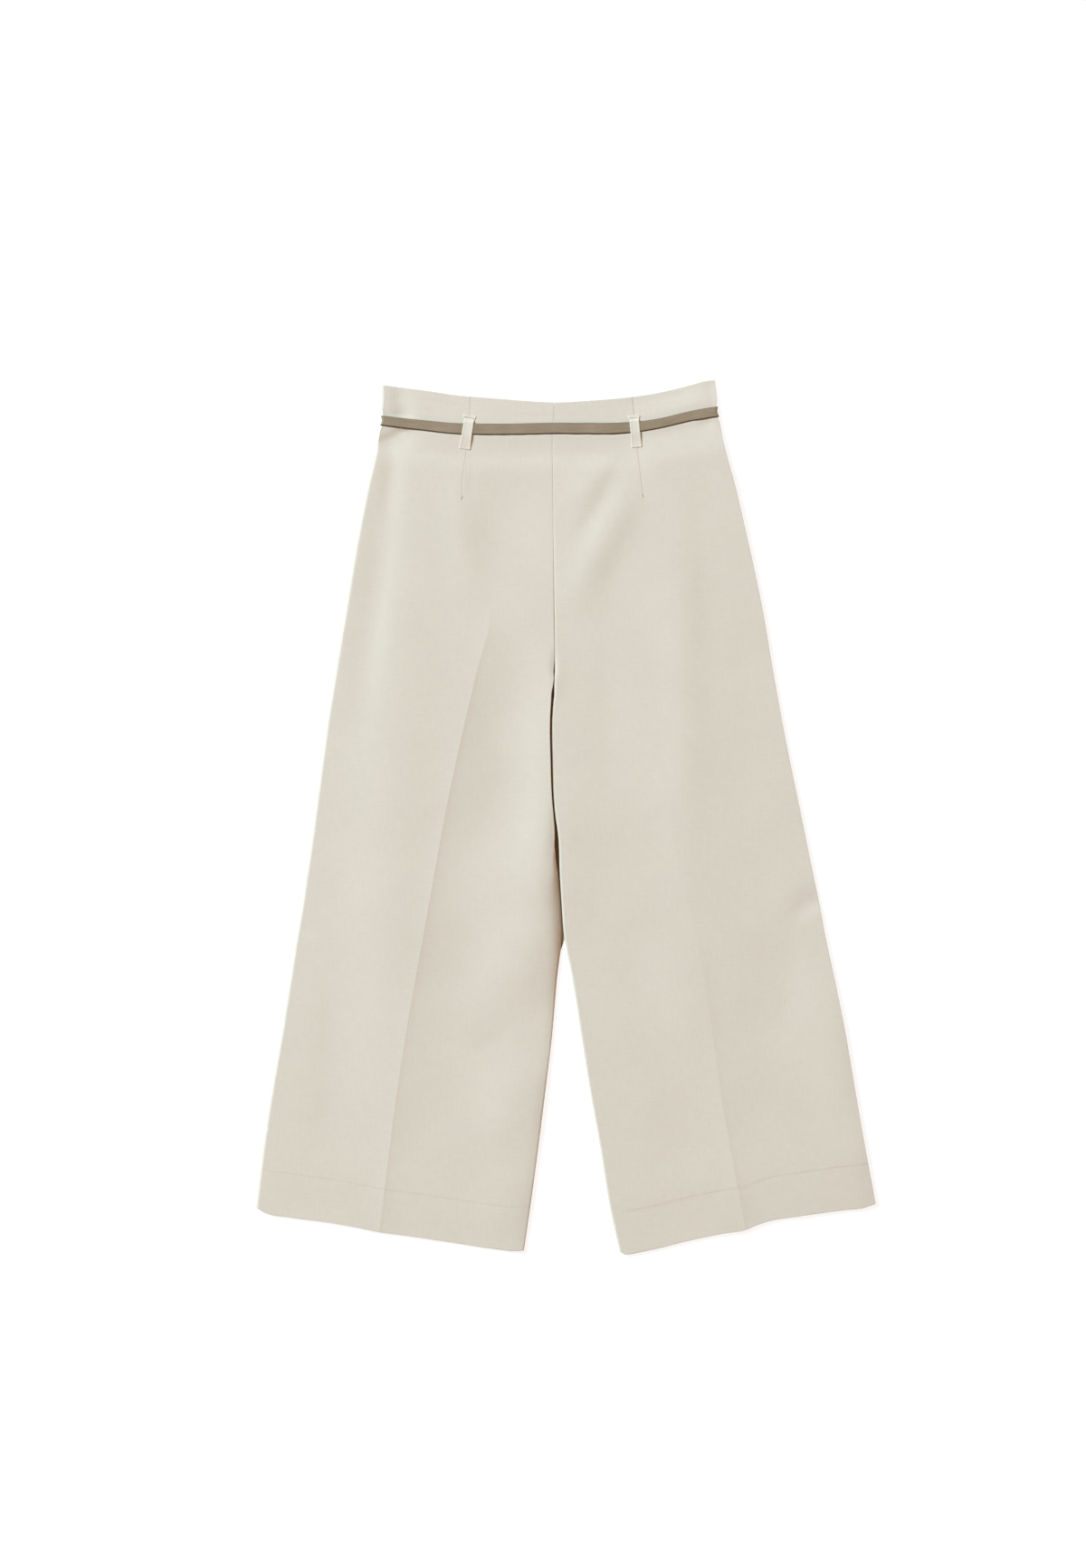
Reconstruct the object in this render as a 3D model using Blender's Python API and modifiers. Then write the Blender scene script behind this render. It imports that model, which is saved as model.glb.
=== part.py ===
"""Wide-leg culottes, laid flat with the back side up, and their narrow belt.

Frame: X runs across the garment, Y up from hem to waist, Z up off the surface that it lies on. The origin is
the middle of the bounding box's underside. The front panels lie underneath, on the surface, and the back
panels lie on them. The belt is a ring round both layers. Lengths in this file are in millimetres, and each
mesh is scaled to metres as it is made.
"""

import math
from collections import namedtuple

import bmesh
import bpy
import numpy as np

MILLIMETRE = 0.001

# Cloth and layers
CLOTH = 1.2                 # wall of every panel
SEAM_GAP = 0.3              # clear space between pieces that are sewn together
LAYER_GAP = 0.45            # clear space between a back panel's edge and the front panel under it
LOFT = 2.8                  # how far the back panels stand off the front ones, inside their edges
LOFT_RISE = 40.0            # length below the belt over which the back panels rise to LOFT
HEM_SETTLE = 45.0           # length above the hem over which they settle again
HEM_LOFT = 0.55             # share of LOFT that is left at the hem

# Belt and its loops
BELT_WIDTH = 12.0
BELT_THICKNESS = 1.6
BELT_BED = 8.0              # half-width of the flat bed that the belt's lower run lifts in the cloth
BELT_SLOPE = 24.0           # length over which the cloth comes down beside that bed
BELT_SLOPE_RIGHT = 26.0     # more of it below the belt on the right
BELT_PINCH = 1.6            # how far the belt draws each side seam in
BELT_PINCH_REACH = 11.0
BELT_REACH = 0.5            # clear space between a side seam and the belt that wraps round it
BELT_END_STEPS = 10         # facets round each end of the belt
BELT_END_SQUARE = 0.5       # 1 bends each end in a half circle, and less makes it squarer
BELT_RUN_STEPS = 26         # facets along each run
LOOP_WIDTH = 10.0
LOOP_TAB_WIDTH = 12.5       # the flared lower end
LOOP_THICKNESS = 1.0
LOOP_SEAT = 0.35            # clear space between a loop and what it is sewn on

# Seams, darts and creases
SEAM_DIP = 0.5              # depth of the hollow along the centre seam
SEAM_DIP_WIDTH = 3.0
DART_DIP = 0.45
DART_DIP_WIDTH = 2.0
DART_FADE = 30.0            # length over which a dart comes up from its tip
TIGHT_DIP = 0.4             # share of those depths that is left where the layers lie tight, above the belt
LEAST_DROP = 0.1            # how far a dip may go below the layers' own distance
CREASE_FLANKS = (2.5, 8.0)  # columns of the mesh beside a crease
EDGE_FLANKS = (1.1, 3.2, 8.0)  # columns of the mesh beside an edge

# Front panels end just inside the back ones
Inset = namedtuple("Inset", "side waist hem")
BACK_INSET = Inset(side=0.0, waist=0.0, hem=0.0)
FRONT_INSET = Inset(side=1.0, waist=1.8, hem=2.5)

# Edges of the two legs at levels down the garment. Above the crotch, at 140, the inner edges are the seam.
Level = namedtuple("Level", "y left_side left_inner right_inner right_side")
LEVELS = (
    Level(460, -193.2, -11.4, -11.4, 156.0),
    Level(430, -193.0, -12.0, -12.0, 159.6),
    Level(400, -196.0, -13.8, -13.8, 164.0),
    Level(345, -208.1, -13.4, -13.4, 178.2),
    Level(288, -219.4, -12.8, -12.8, 191.4),
    Level(230, -229.0, -12.4, -12.4, 204.0),
    Level(140, -243.6, -12.4, -12.4, 219.7),
    Level(100, -249.9, -15.6, -15.0, 227.0),
    Level(60, -255.3, -15.3, -14.6, 234.8),
    Level(10, -261.9, -13.0, -12.2, 245.2),
    Level(-20, -265.8, -8.8, -7.9, 251.3),
    Level(-60, -271.8, -7.2, -6.2, 259.5),
    Level(-95, -276.9, -5.0, -4.0, 266.9),
    Level(-120, -281.2, -3.9, -2.2, 271.3),
    Level(-170, -289.1, -9.0, 6.9, 282.0),
    Level(-230, -298.6, -14.3, 16.3, 294.0),
    Level(-282, -307.6, -20.5, 24.5, 302.8),
    Level(-345, -317.2, -28.4, 35.8, 313.8),
    Level(-410, -325.0, -37.2, 46.4, 325.8),
    Level(-460, -331.0, -44.6, 57.6, 334.0),
)

# Top edge and hems
Edge = namedtuple("Edge", "x y")
WAIST = (
    Edge(-192.9, 452.7), Edge(-147.3, 447.0), Edge(-113.0, 442.2), Edge(-78.9, 439.4), Edge(-44.7, 436.5),
    Edge(-11.4, 434.6), Edge(23.8, 436.5), Edge(58.0, 439.4), Edge(92.2, 444.1), Edge(126.4, 451.7),
    Edge(149.2, 457.4), Edge(156.6, 458.4),
)
LEFT_HEM = (
    Edge(-325.0, -409.2), Edge(-318.5, -413.4), Edge(-289.8, -419.5), Edge(-255.6, -424.2),
    Edge(-221.4, -429.9), Edge(-198.6, -434.7), Edge(-164.4, -439.4), Edge(-118.8, -446.1),
    Edge(-73.2, -452.7), Edge(-52.0, -454.8), Edge(-44.5, -454.4),
)
RIGHT_HEM = (
    Edge(57.6, -455.6), Edge(60.5, -457.9), Edge(65.0, -458.2), Edge(75.0, -456.5), Edge(97.9, -451.8),
    Edge(120.7, -446.1),
    Edge(166.3, -436.6), Edge(189.1, -432.8), Edge(200.5, -428.0), Edge(211.9, -424.2), Edge(246.0, -418.5),
    Edge(291.7, -411.9), Edge(314.5, -409.0), Edge(325.0, -405.2),
)

# Middle of the belt across the back
BELT_LINE = (
    Edge(-196.0, 416.0), Edge(-170.0, 412.8), Edge(-147.0, 410.4), Edge(-124.0, 407.8), Edge(-80.0, 406.3),
    Edge(-10.0, 407.2), Edge(58.0, 407.5), Edge(81.0, 410.2), Edge(103.5, 414.0), Edge(126.0, 419.0),
    Edge(149.0, 423.4), Edge(160.0, 425.0),
)

# The line of each dart, and of the pressed crease below it. The mesh keeps one column of points on it.
LEFT_LINE = (
    Edge(-99.8, 440.5), Edge(-104.5, 384.8), Edge(-107.4, 365.3), Edge(-109.3, 334.0), Edge(-98.0, 270.0),
    Edge(-79.8, 210.4), Edge(-93.1, 152.9), Edge(-120.1, 33.7), Edge(-144.8, -100.3), Edge(-171.0, -249.4),
    Edge(-198.6, -460.0),
)
RIGHT_LINE = (
    Edge(69.4, 445.0), Edge(75.0, 386.2), Edge(79.8, 344.4), Edge(80.7, 335.0), Edge(70.0, 275.0),
    Edge(56.1, 217.0), Edge(85.5, 95.5), Edge(110.2, -11.0), Edge(137.8, -127.8), Edge(168.2, -322.6),
    Edge(194.0, -460.0),
)
DART_TIPS = {"left": 329.0, "right": 331.0}

# A pressed crease is a ridge that stands sharp at its line. Its height changes down the leg, and it fades
# over one reach to its left and another to its right.
Press = namedtuple("Press", "y height")
Crease = namedtuple("Crease", "line presses left right")
CREASES = {
    "left": Crease(LEFT_LINE, (
        Press(222, 0.0), Press(190, 0.7), Press(150, 1.0), Press(60, 1.15), Press(-50, 1.15),
        Press(-150, 1.05), Press(-250, 0.95), Press(-350, 1.0), Press(-470, 1.0),
    ), 26.0, 19.0),
    "right": Crease(RIGHT_LINE, (
        Press(218, 0.0), Press(170, 0.1), Press(60, 0.12), Press(-50, 0.12), Press(-150, 0.25),
        Press(-230, 0.5), Press(-300, 0.7), Press(-400, 0.85), Press(-470, 0.9),
    ), 24.0, 14.0),
}

# How rounded each long edge is: the radius over which a back panel falls to it
Roll = namedtuple("Roll", "y left_side left_inner right_inner right_side")
ROLLS = (
    Roll(460, 6, 3, 3, 3),
    Roll(400, 13, 3, 3, 3),
    Roll(100, 16, 3, 3, 3),
    Roll(-120, 16, 3, 3, 3),
    Roll(-200, 16, 3, 9, 3),
    Roll(-460, 17, 3, 12, 3),
)

# The left leg's fall towards its inner edge, under the right one: its width, and the share of the loft lost
Ramp = namedtuple("Ramp", "y width share")
RAMPS = (
    Ramp(-15, 4, 0.0), Ramp(-45, 9, 0.6), Ramp(-60, 13, 1.0), Ramp(-120, 18, 1.0), Ramp(-150, 16, 0.9),
    Ramp(-200, 12, 0.6), Ramp(-250, 10, 0.36), Ramp(-460, 8, 0.2),
)
RAMP_POWER = 1.8

# Soft folds: each runs down its path, and stands up by its height (or sinks, below zero), which fades over
# the widths on its left and right
Fold = namedtuple("Fold", "name path height left right")
FOLDS = (
    Fold("left hip hollow", ((-178, 402), (-185, 350), (-190, 300), (-196, 250), (-203, 200), (-209, 150),
         (-216, 80), (-221, 0)), -1.7, 20, 14),
    Fold("left long ridge", ((-157, 402), (-163, 300), (-167, 200), (-171, 100), (-175, 0), (-179, -100),
         (-187, -200), (-195, -300), (-203, -400)), 2.8, 42, 41),
    Fold("left dart ridge", ((-113, 392), (-112, 340), (-108, 290), (-100, 250), (-91, 215)), 1.1, 17, 25),
    Fold("left seat hollow", ((-65, 385), (-65, 330), (-70, 270), (-64, 215)), -1.3, 40, 42),
    Fold("left inner thigh hollow", ((-65, 215), (-65, 150), (-66, 90), (-66, 30), (-71, -30), (-83, -90)),
         -2.3, 38, 37),
    Fold("left inner thigh ridge", ((-16, 205), (-14, 150), (-15, 90), (-17, 30), (-22, -20), (-28, -70),
         (-36, -130)), 2.6, 23, 12),
    Fold("left knee ridge", ((-22, 0), (-24, -32), (-27, -62), (-30, -95), (-33, -135), (-40, -180),
         (-47, -225)), 5.0, 60, 34),
    Fold("right inner ridge", ((-8, 70), (-6, 10), (-4, -40), (0, -90), (6, -140)), 1.3, 30, 34),
    Fold("left calf hollow", ((-89, -100), (-102, -150), (-118, -215)), -1.5, 40, 36),
    Fold("left calf ridge", ((-37, -95), (-41, -150), (-54, -210)), 2.1, 40, 28),
    Fold("left shin line", ((-46, -205), (-64, -226), (-86, -240), (-104, -244)), -0.5, 9, 9),
    Fold("left shin ridge", ((-43, -235), (-52, -300), (-66, -370)), 2.2, 35, 38),
    Fold("left hem ridge", ((-52, -330), (-60, -400), (-66, -450)), 1.2, 30, 24),
    Fold("left outer hem hollow", ((-237, -100), (-241, -200), (-245, -300), (-253, -400)), -0.8, 20, 40),
    Fold("right upper diagonal ridge", ((66, 388), (48, 370), (31, 352), (14, 332), (-3, 310)), 1.5, 20, 30),
    Fold("right upper diagonal hollow", ((65, 384), (52, 358), (37, 331), (21, 303), (6, 274)), -0.8, 10, 11),
    Fold("right diagonal ridge", ((80, 380), (67, 346), (56, 320), (42, 293), (26, 263), (10, 230),
         (-4, 196)), 2.2, 18, 20),
    Fold("right long ridge", ((121, 402), (121, 300), (123, 200), (126, 100), (127, 0), (133, -80),
         (142, -160)), 1.7, 26, 38),
    Fold("right hip hollow", ((143, 395), (143, 320), (146, 230), (148, 140), (150, 40), (154, -60)),
         -0.45, 13, 19),
    Fold("right seat hollow", ((40, 230), (44, 160), (44, 100), (48, 40), (52, -20)), -0.6, 21, 28),
    Fold("right knee hollow", ((70, -90), (72, -150), (77, -215)), -0.4, 21, 17),
    Fold("right knee ridge", ((123, -100), (127, -150), (131, -210), (133, -270)), 1.0, 30, 25),
    Fold("right shin hollow", ((118, -262), (124, -320), (130, -390)), -0.7, 24, 38),
    Fold("right outer hollow", ((237, -85), (230, -150), (222, -210), (209, -290)), -1.3, 38, 24),
    Fold("right outer shin ridge", ((276, -125), (283, -200), (291, -290), (303, -390)), 1.4, 26, 20),
    Fold("right edge dent", ((286, -84), (268, -86), (250, -95), (230, -120)), -1.9, 13, 10),
    Fold("left edge dent", ((-292, -116), (-279, -118), (-262, -128)), -0.6, 6, 6),
)
FOLD_SAMPLES = 24           # points at which a fold's path is read
FOLD_TAPER = 0.42           # share of a fold's length over which each end fades out
FOLD_END = 30.0             # reach of a fold past its ends

# Mesh rows, as distances below the top edge, and then evenly to the hem
WAIST_ROWS = (0, 6, 12, 17, 22, 27, 32, 37, 42, 47, 53, 62, 76)
BACK_ROW_STEP = 18.0
FRONT_ROW_STEP = 50.0
BACK_COLUMNS = (8, 7)       # free columns left and right of the dart and crease
FRONT_COLUMNS = 8
NOMINAL_LENGTH = 875.0
CORNER_ROUNDS = 6           # steps that settle a corner, or a column's place, on its line

# Belt loops: each lies along a slanted line across the belt
Loop = namedtuple("Loop", "name top bottom")
LOOPS = (
    Loop("belt_loop_left", Edge(-100.7, 419.6), Edge(-105.5, 386.4)),
    Loop("belt_loop_right", Edge(71.7, 420.6), Edge(74.1, 387.6)),
)

LoopStation = namedtuple("LoopStation", "place lift width")

# The two legs, with the columns of LEVELS that bound each on its left (west) and right (east)
Leg = namedtuple("Leg", "name west east hem")
LEGS = (
    Leg("left", "left_side", "left_inner", LEFT_HEM),
    Leg("right", "right_inner", "right_side", RIGHT_HEM),
)
CROTCH_TOP = 150.0          # level at which the centre seam starts to open into two rounded inner edges
CROTCH_EASE = 40.0          # length over which it does

Finish = namedtuple("Finish", "colour roughness")
CREAM_CLOTH = Finish((0.70, 0.66, 0.58), 0.9)
TAUPE_WEBBING = Finish((0.33, 0.27, 0.20), 0.8)


def smooth(at, values, where):
    """Cubic through the knots (at ascending, values), with slopes from the neighbouring knots."""
    at = np.asarray(at, float)
    values = np.asarray(values, float)
    where = np.asarray(where, float)
    slopes = np.gradient(values, at)
    i = np.clip(np.searchsorted(at, where) - 1, 0, len(at) - 2)
    step = at[i + 1] - at[i]
    t = (where - at[i]) / step
    start = (1 + 2 * t) * (1 - t) ** 2 * values[i] + t * (1 - t) ** 2 * step * slopes[i]
    end = t * t * (3 - 2 * t) * values[i + 1] + t * t * (t - 1) * step * slopes[i + 1]
    return start + end


def ease(t):
    """0 to 1 with level ends."""
    t = np.clip(t, 0.0, 1.0)
    return t * t * (3 - 2 * t)


def along_x(edges, x):
    return smooth([e.x for e in edges], [e.y for e in edges], x)


def along_y(edges, y):
    rows = sorted(edges, key=lambda e: e.y)
    return smooth([e.y for e in rows], [e.x for e in rows], y)


def belt_y(x):
    return along_x(BELT_LINE, np.clip(x, BELT_LINE[0].x, BELT_LINE[-1].x))


def level_x(column, y):
    rows = LEVELS[::-1]
    return smooth([r.y for r in rows], [getattr(r, column) for r in rows], y)


def edge_x(column, y, inset):
    """One long edge of a panel: a side seam drawn in by the belt, or a centre seam and inseam."""
    x = level_x(column, y)
    if column.endswith("side"):
        outward = math.copysign(1.0, x.flat[0])
        pinch = BELT_PINCH * np.exp(-((y - belt_y(x)) / BELT_PINCH_REACH) ** 2)
        return x - outward * (inset.side + pinch)
    inward = -1.0 if column.startswith("left") else 1.0
    return x + inward * SEAM_GAP / 2


def mix(a, b, t):
    return a + (b - a) * t[..., None]


def corner(edges, column, lift, inset):
    """Where a long edge of a panel meets its top edge or its hem."""
    x = np.array([0.0])
    for _ in range(CORNER_ROUNDS):
        y = along_x(edges, np.clip(x, edges[0].x, edges[-1].x)) + lift
        x = edge_x(column, y, inset)
    return np.array([x[0], y[0]])


def panel_points(leg, u, v, inset):
    """Points of a panel between its four edges: across (u) from its left one and down (v) from the waist."""
    top = [corner(WAIST, column, -inset.waist, inset) for column in (leg.west, leg.east)]
    low = [corner(leg.hem, column, inset.hem, inset) for column in (leg.west, leg.east)]

    def cross(edges, ends, lift):
        x = ends[0][0] + (ends[1][0] - ends[0][0]) * u
        y = along_x(edges, np.clip(x, edges[0].x, edges[-1].x)) + lift
        return np.stack([x, y], -1)

    def down(column, start, end):
        y = start[1] + (end[1] - start[1]) * v
        return np.stack([edge_x(column, y, inset), y], -1)

    waist = cross(WAIST, top, -inset.waist)
    hem = cross(leg.hem, low, inset.hem)
    west = down(leg.west, top[0], low[0])
    east = down(leg.east, top[1], low[1])
    corners = mix(mix(top[0], low[0], v), mix(top[1], low[1], v), u)
    return mix(waist, hem, v) + mix(west, east, u) - corners


def column_fractions(leg, line, v):
    """Where a row's points lie across a back panel, with one on the dart and crease."""
    ends = panel_points(leg, np.array([0.0, 1.0]), np.array([v, v]), BACK_INSET)
    width = ends[1, 0] - ends[0, 0]
    u = 0.5
    for _ in range(CORNER_ROUNDS):
        y = panel_points(leg, np.array([u]), np.array([v]), BACK_INSET)[0, 1]
        u = (float(along_y(line, np.array([y]))[0]) - ends[0, 0]) / width
    middle = u * width
    near, far = CREASE_FLANKS
    left = np.linspace(EDGE_FLANKS[-1], middle - far, BACK_COLUMNS[0] + 1)
    right = np.linspace(middle + far, width - EDGE_FLANKS[-1], BACK_COLUMNS[1] + 1)
    edge = np.array([0.0, *EDGE_FLANKS[:-1]])
    places = [*edge, *left, middle - near, middle, middle + near, *right, *(width - edge[::-1])]
    return np.array(places) / width


def fold_height(x, y, fold):
    """Height of one soft fold over the points."""
    path = np.array(fold.path, float)
    knots = np.linspace(0.0, 1.0, len(path))
    along = np.linspace(0.0, 1.0, FOLD_SAMPLES)
    path_x = smooth(knots, path[:, 0], along)
    path_y = smooth(knots, path[:, 1], along)
    way_x = np.gradient(path_x)
    way_y = np.gradient(path_y)
    length = np.hypot(way_x, way_y)
    dx = x[..., None] - path_x
    dy = y[..., None] - path_y
    nearest = np.argmin(dx * dx + dy * dy, axis=-1)
    dx = np.take_along_axis(dx, nearest[..., None], -1)[..., 0]
    dy = np.take_along_axis(dy, nearest[..., None], -1)[..., 0]
    aside = (way_x[nearest] * dy - way_y[nearest] * dx) / length[nearest]
    beyond = (way_x[nearest] * dx + way_y[nearest] * dy) / length[nearest]
    place = along[nearest] + beyond / length[nearest] / (FOLD_SAMPLES - 1)
    taper = ease(place / FOLD_TAPER) * ease((1 - place) / FOLD_TAPER)
    width = np.where(aside > 0, fold.right, fold.left)
    within = np.abs(beyond) < FOLD_END
    return fold.height * within * taper * np.exp(-(aside / width) ** 2)


def belt_bed(x, y):
    """Lift of the cloth over the belt's lower run."""
    below = belt_y(x) - y
    slope = BELT_SLOPE + (below > 0) * BELT_SLOPE_RIGHT * right_half(x)
    return (BELT_THICKNESS + LOOP_SEAT) * (1 - ease((np.abs(below) - BELT_BED) / slope))


def right_half(x):
    return ease((x - 40.0) / 60.0)


def waist_lift(x, y):
    """How far the back waist stays up above the belt, where its turned edge is thick."""
    above = y - belt_y(x)
    return (BELT_THICKNESS + LOOP_SEAT) * ease((above - BELT_BED) / BELT_SLOPE) * (1 - right_half(x))


def by_y(rows, column, y):
    """A table's column at y, in straight lines between its rows."""
    rows = rows[::-1]
    return np.interp(y, [row.y for row in rows], [getattr(row, column) for row in rows])


def roll(distance, column, y):
    """Share of the loft that a rounded edge has left at a distance from it."""
    t = np.clip(distance / by_y(ROLLS, column, y), 0.0, 1.0)
    return np.sqrt(1 - (1 - t) ** 2)


def front_top(x, y):
    return CLOTH + belt_bed(x, y)


def back_top(leg, x, y):
    """Upper face of a back panel."""
    seat = CLOTH + LAYER_GAP + CLOTH + belt_bed(x, y)
    side = level_x(f"{leg.name}_side", y)
    inner = level_x(f"{leg.name}_inner", y)
    hem = along_x(leg.hem, np.clip(x, leg.hem[0].x, leg.hem[-1].x))
    loft = ease((belt_y(x) - BELT_WIDTH / 2 - y) / LOFT_RISE)
    settle = HEM_LOFT + (1 - HEM_LOFT) * ease((y - hem) / HEM_SETTLE)
    from_inner = np.abs(inner - x)
    split = ease((CROTCH_TOP - y) / CROTCH_EASE)
    open_edge = 1 - split + split * roll(from_inner, f"{leg.name}_inner", y)
    open_edge = open_edge * roll(np.abs(x - side), f"{leg.name}_side", y)
    folds = 0.0
    for fold in FOLDS:
        own = fold.name.startswith(leg.name)
        folds = folds + fold_height(x, y, fold) * (1 if own else 1 - split)
    crease = CREASES[leg.name]
    aside = x - along_y(crease.line, y)
    reach = np.where(aside < 0, crease.left, crease.right)
    ridge = by_y(crease.presses, "height", y) * np.exp(-np.abs(aside) / reach)
    dart = DART_DIP * ease((y - DART_TIPS[leg.name]) / DART_FADE) * np.exp(-(aside / DART_DIP_WIDTH) ** 2)
    seam = SEAM_DIP * (1 - split) * np.exp(-(from_inner / SEAM_DIP_WIDTH) ** 2)
    dips = (dart + seam) * (TIGHT_DIP + (1 - TIGHT_DIP) * loft)
    body = ((LOFT + folds) * loft + ridge + waist_lift(x, y)) * settle * open_edge
    if leg.name == "left":
        near = np.clip(1 - from_inner / by_y(RAMPS, "width", y), 0.0, 1.0)
        body = body * (1 - by_y(RAMPS, "share", y) * near ** RAMP_POWER)
    return seat + np.maximum(body - dips, -LEAST_DROP)


def row_fractions(step):
    """Rows down a panel: close ones round the belt, then even ones to the hem."""
    start = WAIST_ROWS[-1]
    count = round((NOMINAL_LENGTH - start) / step)
    even = [start + (NOMINAL_LENGTH - start) * i / count for i in range(1, count + 1)]
    return np.array([*WAIST_ROWS, *even]) / NOMINAL_LENGTH


def material(name, finish):
    made = bpy.data.materials.new(name)
    made.use_nodes = True
    shader = made.node_tree.nodes["Principled BSDF"]
    shader.inputs["Base Color"].default_value = (*finish.colour, 1.0)
    shader.inputs["Roughness"].default_value = finish.roughness
    shader.inputs["Metallic"].default_value = 0.0
    return made


def grid_object(name, points, thickness, finish, collection, ring=False):
    """A sheet through a grid of points (rows, columns, 3), made a wall that grows below it."""
    rows, columns = points.shape[:2]
    sheet = bmesh.new()
    bmesh.ops.create_grid(sheet, x_segments=columns - 1, y_segments=rows - 1, size=0.5)
    for vertex in sheet.verts:
        column = round((vertex.co.x + 0.5) * (columns - 1))
        row = round((0.5 - vertex.co.y) * (rows - 1))
        vertex.co = points[row, column] * MILLIMETRE
    if ring:
        bmesh.ops.remove_doubles(sheet, verts=sheet.verts, dist=0.00001)
    mesh = bpy.data.meshes.new(name)
    sheet.to_mesh(mesh)
    sheet.free()
    mesh.materials.append(finish)
    mesh.shade_smooth()
    made = bpy.data.objects.new(name, mesh)
    collection.objects.link(made)
    wall = made.modifiers.new("cloth wall", "SOLIDIFY")
    wall.thickness = thickness * MILLIMETRE
    wall.offset = -1.0
    wall.use_even_offset = False
    return made


def back_panel(leg, finish, collection):
    line = CREASES[leg.name].line
    v = row_fractions(BACK_ROW_STEP)
    u = np.array([column_fractions(leg, line, at) for at in v])
    flat = panel_points(leg, u, np.repeat(v[:, None], u.shape[1], 1), BACK_INSET)
    height = back_top(leg, flat[..., 0], flat[..., 1])
    points = np.concatenate([flat, height[..., None]], -1)
    return grid_object(f"back_{leg.name}_panel", points, CLOTH, finish, collection)


def front_panel(leg, finish, collection):
    v = row_fractions(FRONT_ROW_STEP)
    u, v = np.meshgrid(np.linspace(0.0, 1.0, FRONT_COLUMNS), v)
    flat = panel_points(leg, u, v, FRONT_INSET)
    height = front_top(flat[..., 0], flat[..., 1])
    points = np.concatenate([flat, height[..., None]], -1)
    return grid_object(f"front_{leg.name}_panel", points, CLOTH, finish, collection)


def cloth_top(x, y):
    """Upper face of whichever back panel lies at the points."""
    left, right = (back_top(leg, x, y) for leg in LEGS)
    return np.where(x < level_x("left_inner", y), left, right)


def belt_end(column, y):
    """Middle of the belt's wall where it wraps round a side seam."""
    seam = edge_x(column, np.array([y]), BACK_INSET)[0]
    return seam + math.copysign(BELT_REACH + BELT_THICKNESS / 2, seam)


def belt_ring(offset, high):
    """The belt's middle surface, seen from the hem: points x, z all round, at an offset across its width."""
    low = BELT_THICKNESS / 2
    left = belt_end("left_side", BELT_LINE[0].y + offset)
    right = belt_end("right_side", BELT_LINE[-1].y + offset)
    across = np.linspace(left, right, BELT_RUN_STEPS + 1)[1:-1]
    turn = (high - low) / 2
    ring = [(x, high) for x in across]
    for start, way in ((right, 1), (left, -1)):
        for i in range(BELT_END_STEPS):
            angle = math.pi * (i + 0.5) / BELT_END_STEPS
            reach = math.sin(angle) ** BELT_END_SQUARE
            rise = math.copysign(abs(math.cos(angle)) ** BELT_END_SQUARE, math.cos(angle))
            ring.append((start - way * turn * (1 - reach), low + turn * (1 + way * rise)))
        if way > 0:
            ring += [(x, low) for x in across[::-1]]
    return np.array(ring)


def belt(finish, collection):
    """A flat band in a closed ring: over the back panels, round both sides and back under the front ones.

    Returns the height of its upper face.
    """
    rims = np.linspace(BELT_LINE[0].x, BELT_LINE[-1].x, BELT_RUN_STEPS)
    top = max(float(np.max(cloth_top(rims, belt_y(rims) + side * BELT_WIDTH / 2))) for side in (-1, 0, 1))
    high = top + LOOP_SEAT + BELT_THICKNESS / 2
    bands = []
    for offset in (BELT_WIDTH / 2, 0.0, -BELT_WIDTH / 2):
        ring = belt_ring(offset, high)
        along = np.roll(ring, -1, 0) - np.roll(ring, 1, 0)
        outward = np.stack([-along[:, 1], along[:, 0]], -1)
        outward /= np.linalg.norm(outward, axis=1)[:, None]
        outer = ring + outward * BELT_THICKNESS / 2
        bands.append(np.stack([outer[:, 0], belt_y(ring[:, 0]) + offset, outer[:, 1]], -1))
    bands = np.array(bands)
    closed = np.concatenate([bands, bands[:, :1]], 1)
    grid_object("belt", closed, BELT_THICKNESS, finish, collection, ring=True)
    return high + BELT_THICKNESS / 2


def belt_loop(loop, belt_top, finish, collection):
    """A narrow strip over the belt, with both ends sewn on the back panel."""
    start = np.array(loop.top)
    end = np.array(loop.bottom)
    length = np.linalg.norm(end - start)
    middle = float(belt_y(np.array([start[0]]))[0])
    above = start[1] - middle - BELT_WIDTH / 2
    below = above + BELT_WIDTH
    stations = (
        LoopStation(0.0, 0.25, LOOP_WIDTH),
        LoopStation(above * 0.45, 0.75, LOOP_WIDTH),
        LoopStation(above * 0.9, 1.0, LOOP_WIDTH),
        LoopStation(below + 0.8, 1.0, LOOP_WIDTH),
        LoopStation(below + 3.2, 0.55, LOOP_WIDTH),
        LoopStation(below + 6.0, 0.12, LOOP_WIDTH),
        LoopStation(length - 3.0, 0.0, LOOP_TAB_WIDTH),
        LoopStation(length, 0.0, LOOP_TAB_WIDTH),
    )
    top = belt_top + LOOP_SEAT + LOOP_THICKNESS
    rows = []
    for station in stations:
        centre = start + (end - start) * station.place / length
        x = centre[0] + station.width / 2 * np.array([-1.0, 0.0, 1.0])
        y = np.full(3, centre[1])
        seat = float(np.max(cloth_top(x, y))) + LOOP_SEAT + LOOP_THICKNESS
        z = np.full(3, seat + (top - seat) * station.lift)
        rows.append(np.stack([x, y, z], -1))
    return grid_object(loop.name, np.array(rows), LOOP_THICKNESS, finish, collection)


def build():
    for old in list(bpy.data.objects):
        bpy.data.objects.remove(old, do_unlink=True)
    collection = bpy.data.collections.new("culottes")
    bpy.context.scene.collection.children.link(collection)
    cloth = material("cream cloth", CREAM_CLOTH)
    webbing = material("taupe webbing", TAUPE_WEBBING)
    for leg in LEGS:
        back_panel(leg, cloth, collection)
        front_panel(leg, cloth, collection)
    belt_top = belt(webbing, collection)
    for loop in LOOPS:
        belt_loop(loop, belt_top, cloth, collection)


build()
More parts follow.
